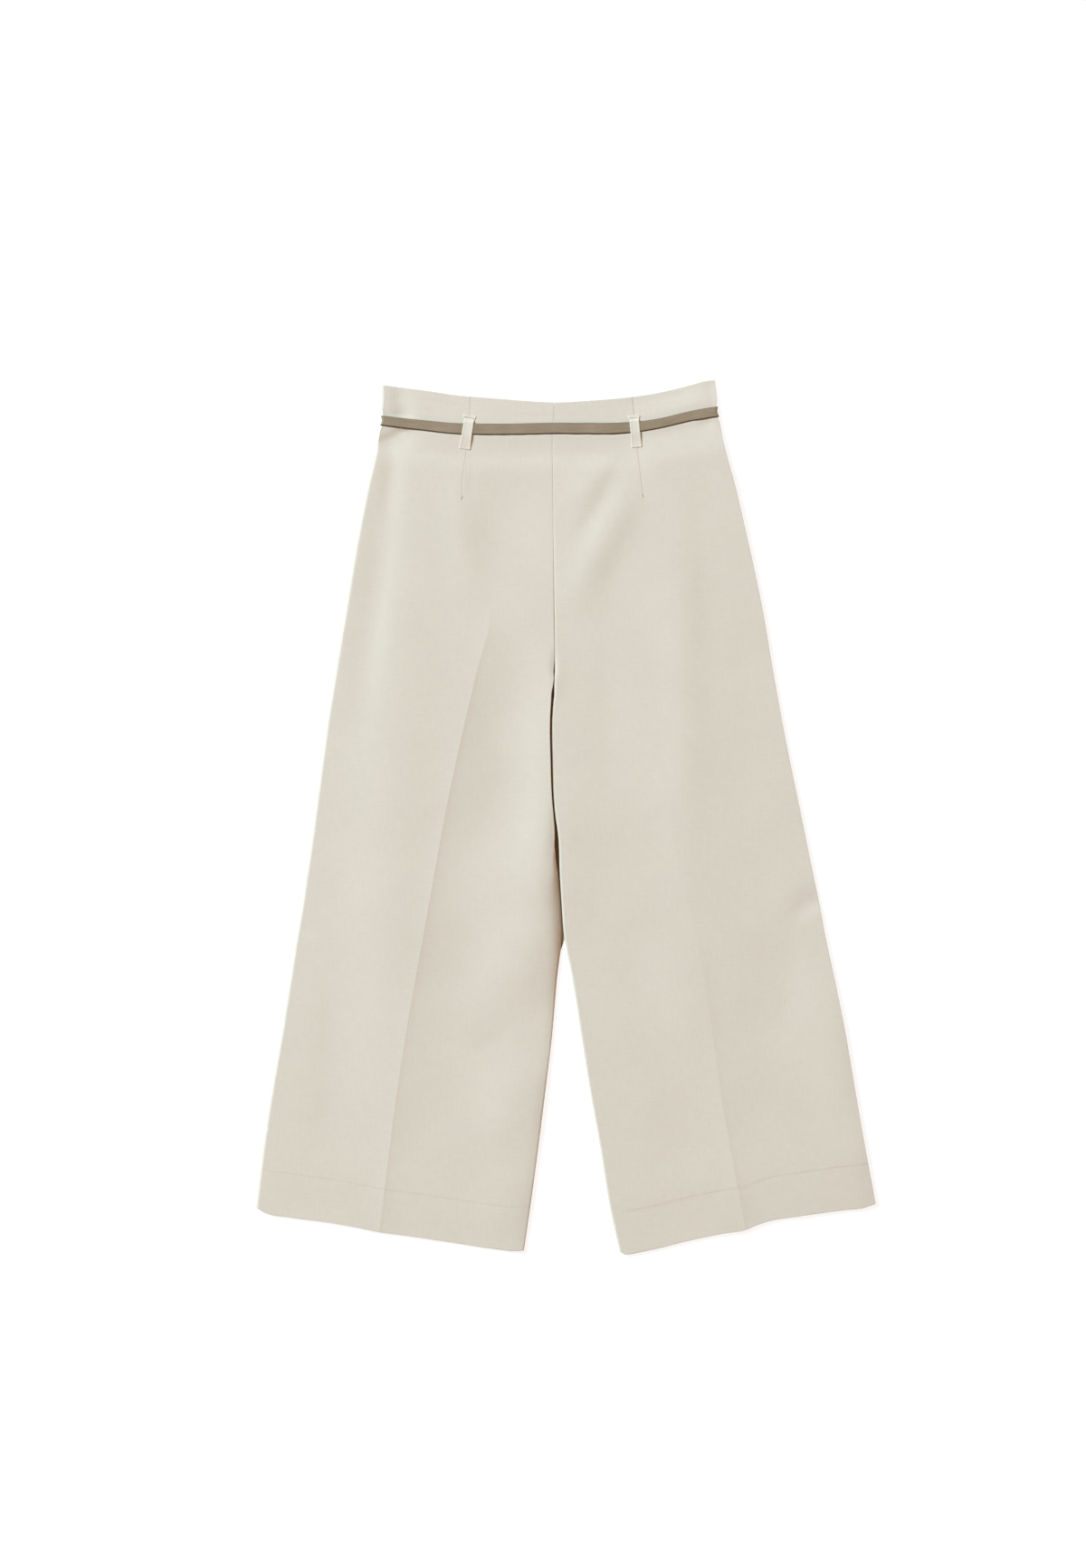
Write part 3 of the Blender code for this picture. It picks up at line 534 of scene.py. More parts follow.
def back_top(leg, x, y):
    """Upper face of a back panel, with its seams, marks and creases."""
    seat = SOLID_WALL + LAYER_GAP + SOLID_WALL + belt_bed(x, y) + belt_welt(x, y)
    from_inner = np.abs(level_x(f"{leg.name}_inner", y) - x)
    from_side = np.abs(x - level_x(f"{leg.name}_side", y))
    aside = x - crease_x(leg, y)
    hem = edge_y(leg.hem, x)
    below_belt = belt_y(x) - BELT_WIDTH / 2 - y
    above_belt = -below_belt - BELT_WIDTH
    loft = ease(below_belt / LOFT_RISE)
    settle = HEM_LOFT + (1 - HEM_LOFT) * ease((y - hem) / HEM_SETTLE)
    split = ease((CROTCH_TOP - y) / CROTCH_EASE)
    edge = rolled(leg, x, y)
    body = (LOFT + soft_folds(leg, x, y, split)) * loft + crease_ridge(leg, aside, y)
    body = (body + waist_wrinkles(x, y, above_belt, below_belt) + waist_lift(x, y)) * settle * edge
    mark = hem_mark(x, hem + HEM_DEPTH - y)
    dips = sewn_dips(leg, aside, from_inner, y, loft, split)
    pressed = rise(y - belt_y(x), SIDE_MARK_UP) * SIDE_MARK * bump(from_side - SIDE_MARK_IN, SIDE_MARK_WIDTH)
    top = np.maximum(seat + body - mark * edge - dips - pressed, BACK_LOWEST)
    return left_rim(top, from_inner, y, split) if leg.name == "left" else top


def cloth_top(x, y):
    left, right = (back_top(leg, x, y) for leg in LEGS)
    return np.where(x < level_x("left_inner", y), left, right)


# ---- Meshes ----

UV_MAP = "threads"


def mesh_object(name, points, faces, places, *materials):
    """A piece in the scene, with a map of its points' places in metres along the cloth's own threads."""
    mesh = bpy.data.meshes.new(name)
    mesh.from_pydata((np.asarray(points).reshape(-1, 3) * MM).tolist(), [], faces)
    mesh.update()
    for material in materials:
        mesh.materials.append(material)
    mesh.shade_smooth()
    loops = np.empty(len(mesh.loops), int)
    mesh.loops.foreach_get("vertex_index", loops)
    places = (np.asarray(places).reshape(-1, 2) * MM).astype(float)
    mesh.uv_layers.new(name=UV_MAP).data.foreach_set("uv", places[loops].ravel())
    made = bpy.data.objects.new(name, mesh)
    bpy.context.scene.collection.objects.link(made)
    return made


def grid_faces(rows, columns, around=False, closed=False, flip=False):
    """Quads of a grid of points: around joins its rows' ends, and closed joins its last row to its first."""
    faces = []
    for j in range(rows if closed else rows - 1):
        for i in range(columns if around else columns - 1):
            j2, i2 = (j + 1) % rows, (i + 1) % columns
            face = (j * columns + i, j2 * columns + i, j2 * columns + i2, j * columns + i2)
            faces.append(face[::-1] if flip else face)
    return faces


def strip_faces(rings, count):
    """Quads round a row of rings, and a cap at each end."""
    cap = range(count)
    end = [(rings - 1) * count + i for i in cap[::-1]]
    return [*grid_faces(rings, count, around=True), tuple(cap), tuple(end)]


def both_ways(places):
    return np.array([*(-p for p in places[::-1]), 0.0, *places])


def column_places(width, middle):
    """Distances across a row, close together beside the edges and the dart or crease, in a fixed number."""
    first = EDGE_PLACES[-1]
    last = LINE_PLACES[-1]
    counts = [round(aside / BACK_GRID.column) + 1 for aside in LINE_ASIDE]
    left = np.linspace(first, middle - last, counts[0])[1:-1]
    right = np.linspace(middle + last, width - first, counts[1])[1:-1]
    edge = np.array([0.0, *EDGE_PLACES])
    return np.array([*edge, *left, *(middle + both_ways(LINE_PLACES)), *right, *(width - edge[::-1])])


def row_places(length):
    """Distances down a panel, close together at its ends, about the belt and about the hem's line."""
    mark = length - HEM_DEPTH
    first = WIDE_ROWS_START
    end = [length - p for p in HEM_PLACES]
    upper = np.arange(TOP_PLACES[-1] + BELT_ROW, BELT_ROWS_END, BELT_ROW)
    middle = np.linspace(first, mark + MARK_PLACES[0], round((mark - first) / BACK_GRID.row) + 1)
    last = mark + MARK_PLACES[-1]
    lower = np.linspace(last, end[0], round((end[0] - last) / BACK_GRID.row) + 1)
    marks = [mark + p for p in MARK_PLACES[1:-1]]
    return np.array([*TOP_PLACES, *upper, *middle, *marks, *lower, *end[1:]])


def panel_length(leg):
    line = CREASES[leg.name].line
    return float(edge_y(WAIST, np.array([line[0].x]))[0] - edge_y(leg.hem, np.array([line[-1].x]))[0])


def line_fractions(leg, v, inset):
    """Fractions across a panel at every v, with one column along its dart and crease."""
    west = panel_points(leg, np.zeros(len(v)), v, inset)[:, 0]
    width = panel_points(leg, np.ones(len(v)), v, inset)[:, 0] - west
    u = np.full(len(v), 0.5)
    for _ in range(ROUNDS):
        u = (crease_x(leg, panel_points(leg, u, v, inset)[:, 1]) - west) / width
    return np.array([column_places(w, at * w) / w for w, at in zip(width, u)])


def inner_edge(leg, y, outward, way):
    """An inner edge's radius, how far inwards it is shifted, and how far it turns back under itself."""
    split = ease((CROTCH_TOP - y) / CROTCH_EASE)
    under = split * rise(y, UNDER_UP)
    open_radius = EDGE_RADIUS + (RIM_RADIUS - EDGE_RADIUS) * rise(y, SHARP_UP)
    radius = SEAM_RADIUS + (open_radius - SEAM_RADIUS) * split
    if way < 0:
        return radius, by_y(SLOTS, leg.name, y) - SEAM_GAP / 2, UNDERCUT[leg.name] * under
    return radius, CLOSED - SEAM_GAP / 2 - outward * LOWER_LINE * under, np.zeros(len(y))


def edge_columns(leg, sheet, way, level):
    """Rounds both long edges over (way -1) or up (way 1), and takes them on to the seam's level."""
    sides = []
    none = np.zeros(len(sheet))
    x = sheet[..., 0]
    for column, side, outward in ((leg.west, 0, -1.0), (leg.east, -1, 1.0)):
        radius = np.full(len(sheet), SHARP_RADIUS if column == "right_side" else EDGE_RADIUS)
        shift = under = none
        if column.endswith("inner"):
            radius, shift, under = inner_edge(leg, sheet[:, side, 1], outward, way)
        x -= outward * shift[:, None] * bump(x - x[:, side, None], SLOT_REACH)
        edge = sheet[:, side].copy()
        x[:, side] -= outward * radius
        turned = []
        for angle in np.linspace(0.0, math.pi / 2, TURN_STEPS + 1)[1:]:
            inward = -outward * radius * (1.0 - math.sin(angle))
            turned.append(edge + np.stack([inward, none, way * radius * (1.0 - math.cos(angle))], -1))
        left_to_go = level - turned[-1][:, 2]
        fall = np.where(way * left_to_go > 0, left_to_go, way * LEAST_FALL)
        beyond = np.stack([-outward * under, none, fall], -1)
        turned += [turned[-1] + beyond * 0.5, turned[-1] + beyond]
        sides.append(np.stack(turned, 1))
    return np.concatenate([sides[0][:, ::-1], sheet, sides[1]], 1)


def turned_edge(outer, inner, away):
    """Rows that turn from the sheet's last row to the first one of its inner layer, bulging away from it."""
    radius = np.linalg.norm(outer - inner, axis=-1, keepdims=True) / 2
    rows = []
    for angle in np.linspace(0.0, math.pi, 2 * TURN_STEPS + 1)[1:-1]:
        place = outer + (inner - outer) * (1 - math.cos(angle)) / 2
        rows.append(place + np.array([0.0, away, 0.0]) * radius * math.sin(angle))
    return rows


def inner_layer(leg, u, places, inset, height, drop):
    """Rows of the cloth that is turned inside: at v places, drop above or below the outer face."""
    rows = []
    spare = np.arange(1, TURN_STEPS + 3)[:, None] * SPARE_STEP
    for v in places:
        point = panel_points(leg, u, np.full(len(u), v), inset)
        x, y = point[:, 0], point[:, 1]
        middle = (x[0] + x[-1]) / 2
        x = middle + (x - middle) * (1 - INNER_NARROWER / (x[-1] - x[0]))
        row = np.stack([x, y, np.maximum(height(x, y) + drop, INNER_LOWEST)], -1)
        rows.append(np.array([*(row[0] + spare * (-1, 1, 1))[::-1], *row, *(row[-1] + spare)]))
    return rows


def shell(name, leg, u, v, inset, height, way, materials):
    """One sheet of cloth with its hem and top edge turned in and its long edges rounded to the seams."""
    flat = panel_points(leg, u, v, inset)
    sheet = np.concatenate([flat, height(flat[..., 0], flat[..., 1])[..., None]], -1)
    sheet = edge_columns(leg, sheet, way, SEAM_LEVEL if way < 0 else SEAM_LEVEL - SEAM_GAP)
    length = panel_length(leg)
    drop = way * 2 * FOLD_RADIUS
    hem = inner_layer(leg, u[-1], [1 - d / length for d in HEM_ROWS], inset, height, drop)
    top = inner_layer(leg, u[0], [d / length for d in WAIST_ROWS], inset, height, drop)
    rows = [*top[::-1], *turned_edge(sheet[0], top[0], 1.0)[::-1], *sheet]
    points = np.array([*rows, *turned_edge(sheet[-1], hem[0], -1.0), *hem])
    faces = grid_faces(*points.shape[:2], flip=way > 0)
    made = mesh_object(name, points, faces, thread_places(leg, points), *materials)
    wall = made.modifiers.new("cloth wall", "SOLIDIFY")
    # The wall's other face takes the second material: the same cloth, painted dark brown as shade.
    wall.material_offset = 1
    wall.thickness = CLOTH * MM
    wall.offset = -1.0
    wall.use_even_offset = False
    return made


def back_shell(leg, materials):
    v = row_places(panel_length(leg)) / panel_length(leg)
    u = line_fractions(leg, v, BACK_INSET)
    v = np.repeat(v[:, None], u.shape[1], 1)
    height = partial(back_top, leg)
    return shell(f"back_{leg.name}_cloth", leg, u, v, BACK_INSET, height, -1.0, materials)


def front_shell(leg, materials):
    """The panel underneath: the same outline, a little shorter, flat on the floor except over the belt."""
    length = panel_length(leg)
    upper = np.linspace(FOLD_RADIUS, FRONT_TOP, FRONT_TOP_ROWS)
    lower = np.linspace(FRONT_TOP, length - FOLD_RADIUS, round(length / FRONT_GRID.row))[1:]
    last = FRONT_WIDTH - EDGE_PLACES[-1]
    middle = np.linspace(EDGE_PLACES[-1], last, round(FRONT_WIDTH / FRONT_GRID.column))
    edge = np.array([0.0, *EDGE_PLACES[:-1]])
    u = np.array([*edge, *middle, *(FRONT_WIDTH - edge[::-1])]) / FRONT_WIDTH
    u, v = np.meshgrid(u, np.concatenate([upper, lower]) / length)
    return shell(f"front_{leg.name}_cloth", leg, u, v, FRONT_INSET, belt_bed, 1.0, materials)


def thread_places(leg, points):
    """Each point's place along the threads, with the pressed crease as the straight grain."""
    run = np.cumsum(np.linalg.norm(np.diff(points, axis=0, prepend=points[:1]), axis=-1), axis=0)
    return np.stack([points[..., 0] - crease_x(leg, np.clip(points[..., 1], *GRAIN_ENDS)), -run], -1)


# ---- Belt ----

RING_STATIONS = 150  # across the belt's upper run, and across its lower one
RING_END_STATIONS = 18
BED_SAMPLES = 26  # places at which the cloth's height under the belt is read
SECTION_RADIUS = 0.5
SECTION_STEPS = 3  # facets in each rounded edge
CROWN = 0.05  # of the strap's faces
CROWN_PLACES = 9
CROWN_IN = 1.0


def belt_end(column, y):
    seam = edge_x(column, np.array([y]), BACK_INSET)[0]
    return seam + math.copysign(BELT_REACH + BELT_THICKNESS / 2, seam)


def belt_ring(offset, high):
    """The belt's middle surface, seen from the hem: points x, z all round, at an offset across its width."""
    low = BELT_THICKNESS / 2
    left = belt_end("left_side", BELT_LINE[0].y + offset)
    right = belt_end("right_side", BELT_LINE[-1].y + offset)
    across = np.linspace(left, right, RING_STATIONS + 1)[1:-1]
    turn = (high - low) / 2
    ring = [(x, high) for x in across]
    for start, way in ((right, 1), (left, -1)):
        for i in range(RING_END_STATIONS):
            angle = math.pi * (i + 0.5) / RING_END_STATIONS
            reach = math.sin(angle) ** BELT_END_SQUARE
            up = math.copysign(abs(math.cos(angle)) ** BELT_END_SQUARE, math.cos(angle))
            ring.append((start - way * turn * (1 - reach), low + turn * (1 + way * up)))
        if way > 0:
            ring += [(x, low) for x in across[::-1]]
    return np.array(ring)


def belt_section():
    """The strap's section as offset and outward distance: crowned faces between its rounded edges."""
    half = STRAP_WIDTH / 2
    thick = BELT_THICKNESS / 2
    across = np.linspace(half - CROWN_IN, CROWN_IN - half, CROWN_PLACES)
    face = [(p, thick + CROWN * (1 - (p / half) ** 2)) for p in across]
    points = []
    for x_way, y_way, start in ((1, 1, 0), (-1, 1, 90), (-1, -1, 180), (1, -1, 270)):
        for i in range(SECTION_STEPS + 1):
            angle = math.radians(start + 90 * i / SECTION_STEPS)
            offset = x_way * (half - SECTION_RADIUS) + SECTION_RADIUS * math.cos(angle)
            points.append((offset, y_way * (thick - SECTION_RADIUS) + SECTION_RADIUS * math.sin(angle)))
        if x_way == y_way:
            points += [(p * x_way, out * x_way) for p, out in face]
    return [(offset + STRAP_RISE, out) for offset, out in points]


def belt(material):
    """A flat strap in a closed ring round both layers, and the height of its top."""
    x = np.linspace(BELT_LINE[0].x, BELT_LINE[-1].x, BED_SAMPLES)
    bed = max(float(np.max(belt_bed(x, belt_y(x) + side * BELT_WIDTH / 2))) for side in (-1, 0, 1))
    high = SOLID_WALL * 2 + LAYER_GAP + bed + STRAP_SEAT + BELT_THICKNESS / 2
    lines = []
    for offset, out in belt_section():
        ring = belt_ring(offset, high)
        along = np.roll(ring, -1, 0) - np.roll(ring, 1, 0)
        outward = np.stack([-along[:, 1], along[:, 0]], -1)
        outward /= np.linalg.norm(outward, axis=1)[:, None]
        place = ring + outward * out
        trim = strap_trim(ring[:, 0], 0.5 + (offset - STRAP_RISE) / STRAP_WIDTH)
        lines.append(np.stack([place[:, 0], belt_y(ring[:, 0]) + offset + trim, place[:, 1]], -1))
    rings = np.stack(lines, 1)
    stations, count = rings.shape[:2]
    run = np.cumsum(np.linalg.norm(np.diff(lines[0], axis=0, prepend=lines[0][:1]), axis=1))
    places = np.stack(np.meshgrid(run, [offset for offset, out in belt_section()], indexing="ij"), -1)
    faces = grid_faces(stations, count, around=True, closed=True, flip=True)
    made = mesh_object("belt_strap", rings, faces, places, material)
    return made, high + BELT_THICKNESS / 2


# ---- Belt loops ----

Loop = namedtuple("Loop", "node top bottom tab width foot")
LOOPS = (
    Loop("belt_loop_left", Point(-100.4, 421.0), Point(-105.9, 385.6), 13.6, 10.7, 12.2),
    Loop("belt_loop_right", Point(71.5, 420.9), Point(74.5, 387.3), 12.4, 10.1, 11.4),
)
LOOP_THICKNESS = 0.5
LOOP_SEAT = 0.05  # clear space under a loop
LOOP_RIM = 0.2  # how far the folded edges stand above the loop's face, and where and how wide
LOOP_RIM_AT = 0.95
LOOP_RIM_WIDTH = 0.65
LOOP_EDGE = 0.22  # how far the very edge turns down
LOOP_EDGE_REACH = 0.16
LOOP_UNDER = 0.985  # width of its lower face, as a share of the upper one
LOOP_WIDER = 0.1  # over the belt, and below it
LOOP_COLUMNS = (0.4, 0.64, 0.76, 0.86, 0.93, 0.985, 1.0)  # on each side of its middle, as shares of its half

Station = namedtuple("Station", "place narrower lift sink")
TAB = table(Station,  # the turned tab, from the loop's top: place, and share of the way up to the belt
    (0, 1.2, 0, 0.3), (0.25, 0.3, 0, 0.02), (0.7, 0, 0, 0), (1.7, 0, 0, 0.08),
    (2.7, 0, 0, 0), (3.1, 0.3, 0, 0.12), (3.4, 1.2, 0.02, 0.42),
)
NECK = (Station(3.7, 0.0, 0.05, 0.4), Station(4.1, 0.0, 0.12, 0.05))  # the step down from it to the loop
FOOT = table(Station,  # the sewn foot, from the loop's end back
    (-2.9, 0, 0, 0.07), (-2.6, 0, 0, 0.13), (-2.3, 0, 0, 0.07), (-1.9, 0, 0, 0),
    (-1.3, 0, 0, 0), (-0.7, 0, 0, 0.03), (-0.3, 0.6, 0, 0.12), (0, 1.8, 0, 0.3),
)
CLIMB_STEPS = 8  # rows up to the belt, over it and down from it
OVER_STEPS = 11
OVER_START = 0.3  # a loop is level from this far above the belt's upper edge
OVER_END = 0.2  # to this far above its lower one
FALL_STEPS = 15
FALL_SOFT = 0.35  # share of the fall that is eased at both ends
FALL_END = -3.2  # where it ends, from the loop's end
TACK_IN = -2.6  # the lower row of stitches, from the loop's end
TACK_DOWN = 2.4  # the upper one, from its top


def loop_line(loop):
    """A loop's top, the way down along it, the way across it, and its length."""
    start = np.array(loop.top)
    end = np.array(loop.bottom)
    length = float(np.linalg.norm(end - start))
    way = (end - start) / length
    return start, way, np.array([-way[1], way[0]]), length


def loop_face(centre):
    """Height of a loop's face where it lies on the cloth."""
    return float(cloth_top(*centre[:, None])[0]) + LOOP_SEAT + LOOP_THICKNESS


def loop_stations(loop, length, above, below):
    """Rows down a loop: place, width, share of the way up to the belt's top, and sink of a stitched line."""
    def placed(table, width, start=0.0):
        return [(start + row.place, width - row.narrower, row.lift, row.sink) for row in table]

    wide = loop.width + LOOP_WIDER
    climb = NECK[-1]
    fall_end = length + FALL_END
    rows = placed(TAB, loop.tab) + placed(NECK, loop.width)
    for t in np.linspace(0.0, 1.0, CLIMB_STEPS + 1)[1:]:
        place = climb.place + (above - climb.place) * t
        rows.append((place, loop.width, climb.lift + (1 - climb.lift) * float(ease(t)), 0.0))
    rows += [(place, wide, 1.0, 0.0) for place in np.linspace(above, below, OVER_STEPS + 1)[1:]]
    for t in np.linspace(0.0, 1.0, FALL_STEPS + 1)[1:]:
        fall = float(ease(t)) * FALL_SOFT + t * (1 - FALL_SOFT)
        rows.append((below + (fall_end - below) * t, wide + (loop.foot - wide) * t, 1 - fall, 0.0))
    return rows + placed(FOOT, loop.foot, length)


def belt_loop(loop, belt_top, material):
    """A flat strip with folded edges, from its turned tab over the belt to its sewn foot."""
    start, way, cross, length = loop_line(loop)
    above = start[1] - float(belt_y(start[:1])[0]) - BELT_WIDTH / 2
    top = belt_top + LOOP_SEAT + LOOP_THICKNESS
    rings = []
    ends = (above - OVER_START, above + BELT_WIDTH - OVER_END)
    for place, width, lift, sink in loop_stations(loop, length, *ends):
        centre = start + way * place
        seat = loop_face(centre)
        z = seat + (top - seat) * lift
        aside = both_ways(LOOP_COLUMNS) * (width / 2)
        inward = width / 2 - np.abs(aside)
        face = LOOP_RIM * bump(inward - LOOP_RIM_AT, LOOP_RIM_WIDTH)
        face = face - LOOP_EDGE * np.exp(-inward / LOOP_EDGE_REACH) - sink
        upper = [(*(centre + cross * a), z + f) for a, f in zip(aside, face)]
        lower = [(*(centre + cross * a * LOOP_UNDER), z - LOOP_THICKNESS) for a in aside[::-1][1:-1:2]]
        rings.append(upper + lower)
    rings = np.array(rings)
    places = np.stack([rings[..., 0] - start[0], rings[..., 1]], -1)
    return mesh_object(f"{loop.node}_strip", rings, strip_faces(*rings.shape[:2]), places, material)


# ---- Threads ----

THREAD_SIDES = 6
FINE_THREAD = 0.13
STITCH_POINTS = 5
STITCH_UP = 0.9  # height of a stitch's middle above the cloth, in radii
STITCH_ENDS = 1.5  # how much lower its ends are
Stitch = namedtuple("Stitch", "points radius")
KNOTS = table(Stitch,  # thread ends at the darts' tips, their dark thread standing as painted shade of the dimples there
    (((-108.2, 337), (-108.9, 334.9), (-109.6, 332.6)), 0.30),
    (((-109.6, 333.4), (-108.6, 334.6)), 0.26),
    (((80.2, 339), (80.6, 336.9), (80.9, 335.2)), 0.26),
    (((79.4, 338.2), (80.9, 335.6), (81.3, 334.9)), 0.22),
)
PRICK_COLUMNS = (-104.3, -102.0, -99.8)  # small stitches beside the left dart, from its top row down
PRICK_TOP = 381.0
PRICK_PITCH = 2.7
PRICK_COUNT = 16
PRICK_DRIFT = 0.03  # of a column to the left, for each millimetre down
PRICK = (-0.03, -1.1)  # along one stitch
TACK_PITCH = 0.62
TACK_REACH = 0.35
TACK_MARGINS = (1.6, 1.8)  # how much narrower than the loop the two rows of stitches are
TACK_SINK = (0.18, 0.02, 0.18)  # of a stitch's start, middle and end


def tube(points, radius):
    """Points of a thread through the given points, in rings."""
    line = np.array(points, float)
    along = np.gradient(line, axis=0)
    along /= np.linalg.norm(along, axis=1)[:, None]
    aside = np.cross(along, (0.0, 0.0, 1.0))
    aside /= np.linalg.norm(aside, axis=1)[:, None]
    above = np.cross(aside, along)
    turns = np.linspace(0.0, 2 * math.pi, THREAD_SIDES, endpoint=False)
    around = [(math.cos(t) * radius, math.sin(t) * radius) for t in turns]
    return [c + p * a + q * b for c, a, b in zip(line, aside, above) for p, q in around]


def threads(name, stitches, material):
    """One piece of many short threads."""
    points, faces = [], []
    for stitch in stitches:
        for face in strip_faces(len(stitch.points), THREAD_SIDES):
            faces.append(tuple(i + len(points) for i in face))
        points += tube(stitch.points, stitch.radius)
    return mesh_object(name, points, faces, np.array(points)[:, :2], material)


def on_cloth(stitch):
    """A stitch given across the cloth, laid on it with its ends drawn in."""
    line = np.array(stitch.points, float)
    t = np.linspace(0.0, 1.0, STITCH_POINTS)
    x, y = (np.interp(t, np.linspace(0.0, 1.0, len(line)), line[:, axis]) for axis in (0, 1))
    z = cloth_top(x, y) + stitch.radius * (STITCH_UP - STITCH_ENDS * (2 * t - 1) ** 4)
    return Stitch(np.stack([x, y, z], -1), stitch.radius)


def dart_threads(material):
    stitches = [on_cloth(knot) for knot in KNOTS]
    for row in range(PRICK_COUNT):
        for i, column in enumerate(PRICK_COLUMNS):
            x = column - row * PRICK_PITCH * PRICK_DRIFT
            y = PRICK_TOP - (row + i / 3) * PRICK_PITCH
            stitches.append(on_cloth(Stitch(((x, y), (x + PRICK[0], y + PRICK[1])), FINE_THREAD)))
    return threads("dart_stitches", stitches, material)


def tack_threads(loop, material):
    """Bar tacks that hold a loop: short threads side by side across its tab and along its foot."""
    start, way, cross, length = loop_line(loop)
    stitches = []
    widths = (loop.tab - TACK_MARGINS[0], loop.foot - TACK_MARGINS[1])
    for place, width in zip((TACK_DOWN, length + TACK_IN), widths):
        for a in np.arange(-width / 2, width / 2 + 0.01, TACK_PITCH):
            centre = start + way * place + cross * a
            z = loop_face(centre)
            ends = [centre + way * TACK_REACH * end for end in (-1, 0, 1)]
            stitches.append(Stitch([(*end, z - sink) for end, sink in zip(ends, TACK_SINK)], FINE_THREAD))
    return threads(f"{loop.node}_stitches", stitches, material)


# ---- Materials ----

THREAD_PITCH = 0.9
MOTTLE = 0.03  # how far the cloth's tone strays
COOL = (0.995, 1.002, 0.995)
WARM = (1.005, 0.998, 1.0)
STRAP_DARK = (0.238, 0.180, 0.116)
STRAP_LIGHT = (0.322, 0.254, 0.177)
STRAP_UPPER_EDGE = (0.17, 0.137, 0.098)
# The lower edge's colour is edge paint darkened further as painted shadow under the strap.
STRAP_LOWER_EDGE_AND_SHADOW = (0.075, 0.055, 0.036)
UPPER_PAINT = (5.2, 5.6)  # where the strap's painted edges start and are full, across its width; the lower edge is much darker, partly edge paint and partly painted shadow
LOWER_PAINT_AND_SHADOW = (-4.3, -4.9)
# Thread tones, both darker than the cloth as painted shade: the bar tacks' dark outline and the dark dots at
# the darts' tips.
THREAD_SHADED_DARK = (0.52, 0.465, 0.38)
THREAD_SHADED_LIGHT = (0.62, 0.57, 0.485)


class Nodes:
    """A material, and short calls for building its nodes."""

    def __init__(self, name, roughness, specular):
        self.material = bpy.data.materials.new(name)
        self.material.use_nodes = True
        self.tree = self.material.node_tree
        self.shader = self.tree.nodes["Principled BSDF"]
        self.give(self.shader, {"Roughness": roughness, "Specular IOR Level": specular})

    def give(self, node, inputs):
        """Sets a node's inputs, each to a value or to another node's output."""
        for socket, value in inputs.items():
            if isinstance(value, bpy.types.NodeSocket):
                self.tree.links.new(value, node.inputs[socket])
            else:
                node.inputs[socket].default_value = value

    def add(self, kind, inputs, output=0, **settings):
        """Makes a node with its settings and inputs, and returns one of its outputs."""
        node = self.tree.nodes.new(f"ShaderNode{kind}")
        for name, value in settings.items():
            setattr(node, name, value)
        self.give(node, inputs)
        return node.outputs[output]

    def threads(self):
        """Places across and along the cloth's threads."""
        return self.add("UVMap", {}, uv_map=UV_MAP)

    def axis(self, place, number):
        return self.add("SeparateXYZ", {"Vector": place}, number)

    def math(self, operation, a, b=0.0):
        return self.add("Math", {0: a, 1: b}, operation=operation)

    def weighted(self, first, *others):
        """Sum of pairs of a value and its weight."""
        total = self.math("MULTIPLY", *first)
        for pair in others:
            total = self.math("ADD", total, self.math("MULTIPLY", *pair))
        return total

    def noise(self, vector, scale, detail, stretch=None):
        if stretch:
            vector = self.add("VectorMath", {0: vector, 1: stretch}, operation="MULTIPLY")
        return self.add("TexNoise", {"Vector": vector, "Scale": scale, "Detail": detail}, "Fac")

    def mixed(self, factor, first, second, **settings):
        return self.add("Mix", {0: factor, 6: first, 7: second}, 2, data_type="RGBA", **settings)

    def ranged(self, value, low, high):
        return self.add("MapRange", {0: value, 1: low, 2: high})

    def finish(self, colour, height, strength, depth):
        """Gives the shader its colour and its relief, and returns the material."""
        inputs = {"Height": height, "Strength": strength, "Distance": depth * MM}
        self.give(self.shader, {"Base Color": colour, "Normal": self.add("Bump", inputs)})
        return self.material


def shade(colour, factor=1.0):
    return (*(channel * factor for channel in colour), 1.0)


def woven(name, colour):
    """Cloth of crossing threads, with slubs and slow changes of tone."""
    n = Nodes(name, roughness=0.9, specular=0.2)
    place = n.threads()
    turn = 2 * math.pi / (THREAD_PITCH * MM)
    warp, weft = (n.math("SINE", n.math("MULTIPLY", n.axis(place, i), turn)) for i in (0, 1))
    slubs = [n.noise(place, 520.0, 3.0, stretch) for stretch in ((1.0, 0.14, 1.0), (0.14, 1.0, 1.0))]
    slub = n.math("ADD", *slubs)
    tone = n.weighted((slub, 0.36), (n.noise(place, 16.0, 3.0), 0.28))
    base = n.mixed(n.ranged(tone, 0.38, 0.62), shade(colour, 1 - MOTTLE), shade(colour, 1 + MOTTLE))
    tint = n.mixed(n.ranged(n.noise(place, 7.0, 2.0), 0.35, 0.65), shade(COOL), shade(WARM))
    n.give(n.shader, {"Sheen Weight": 0.06, "Sheen Roughness": 0.5})
    relief = n.weighted((n.math("MULTIPLY", warp, weft), 0.5), (slub, 0.5))
    return n.finish(n.mixed(1.0, base, tint, blend_type="MULTIPLY"), relief, 0.35, 0.12)


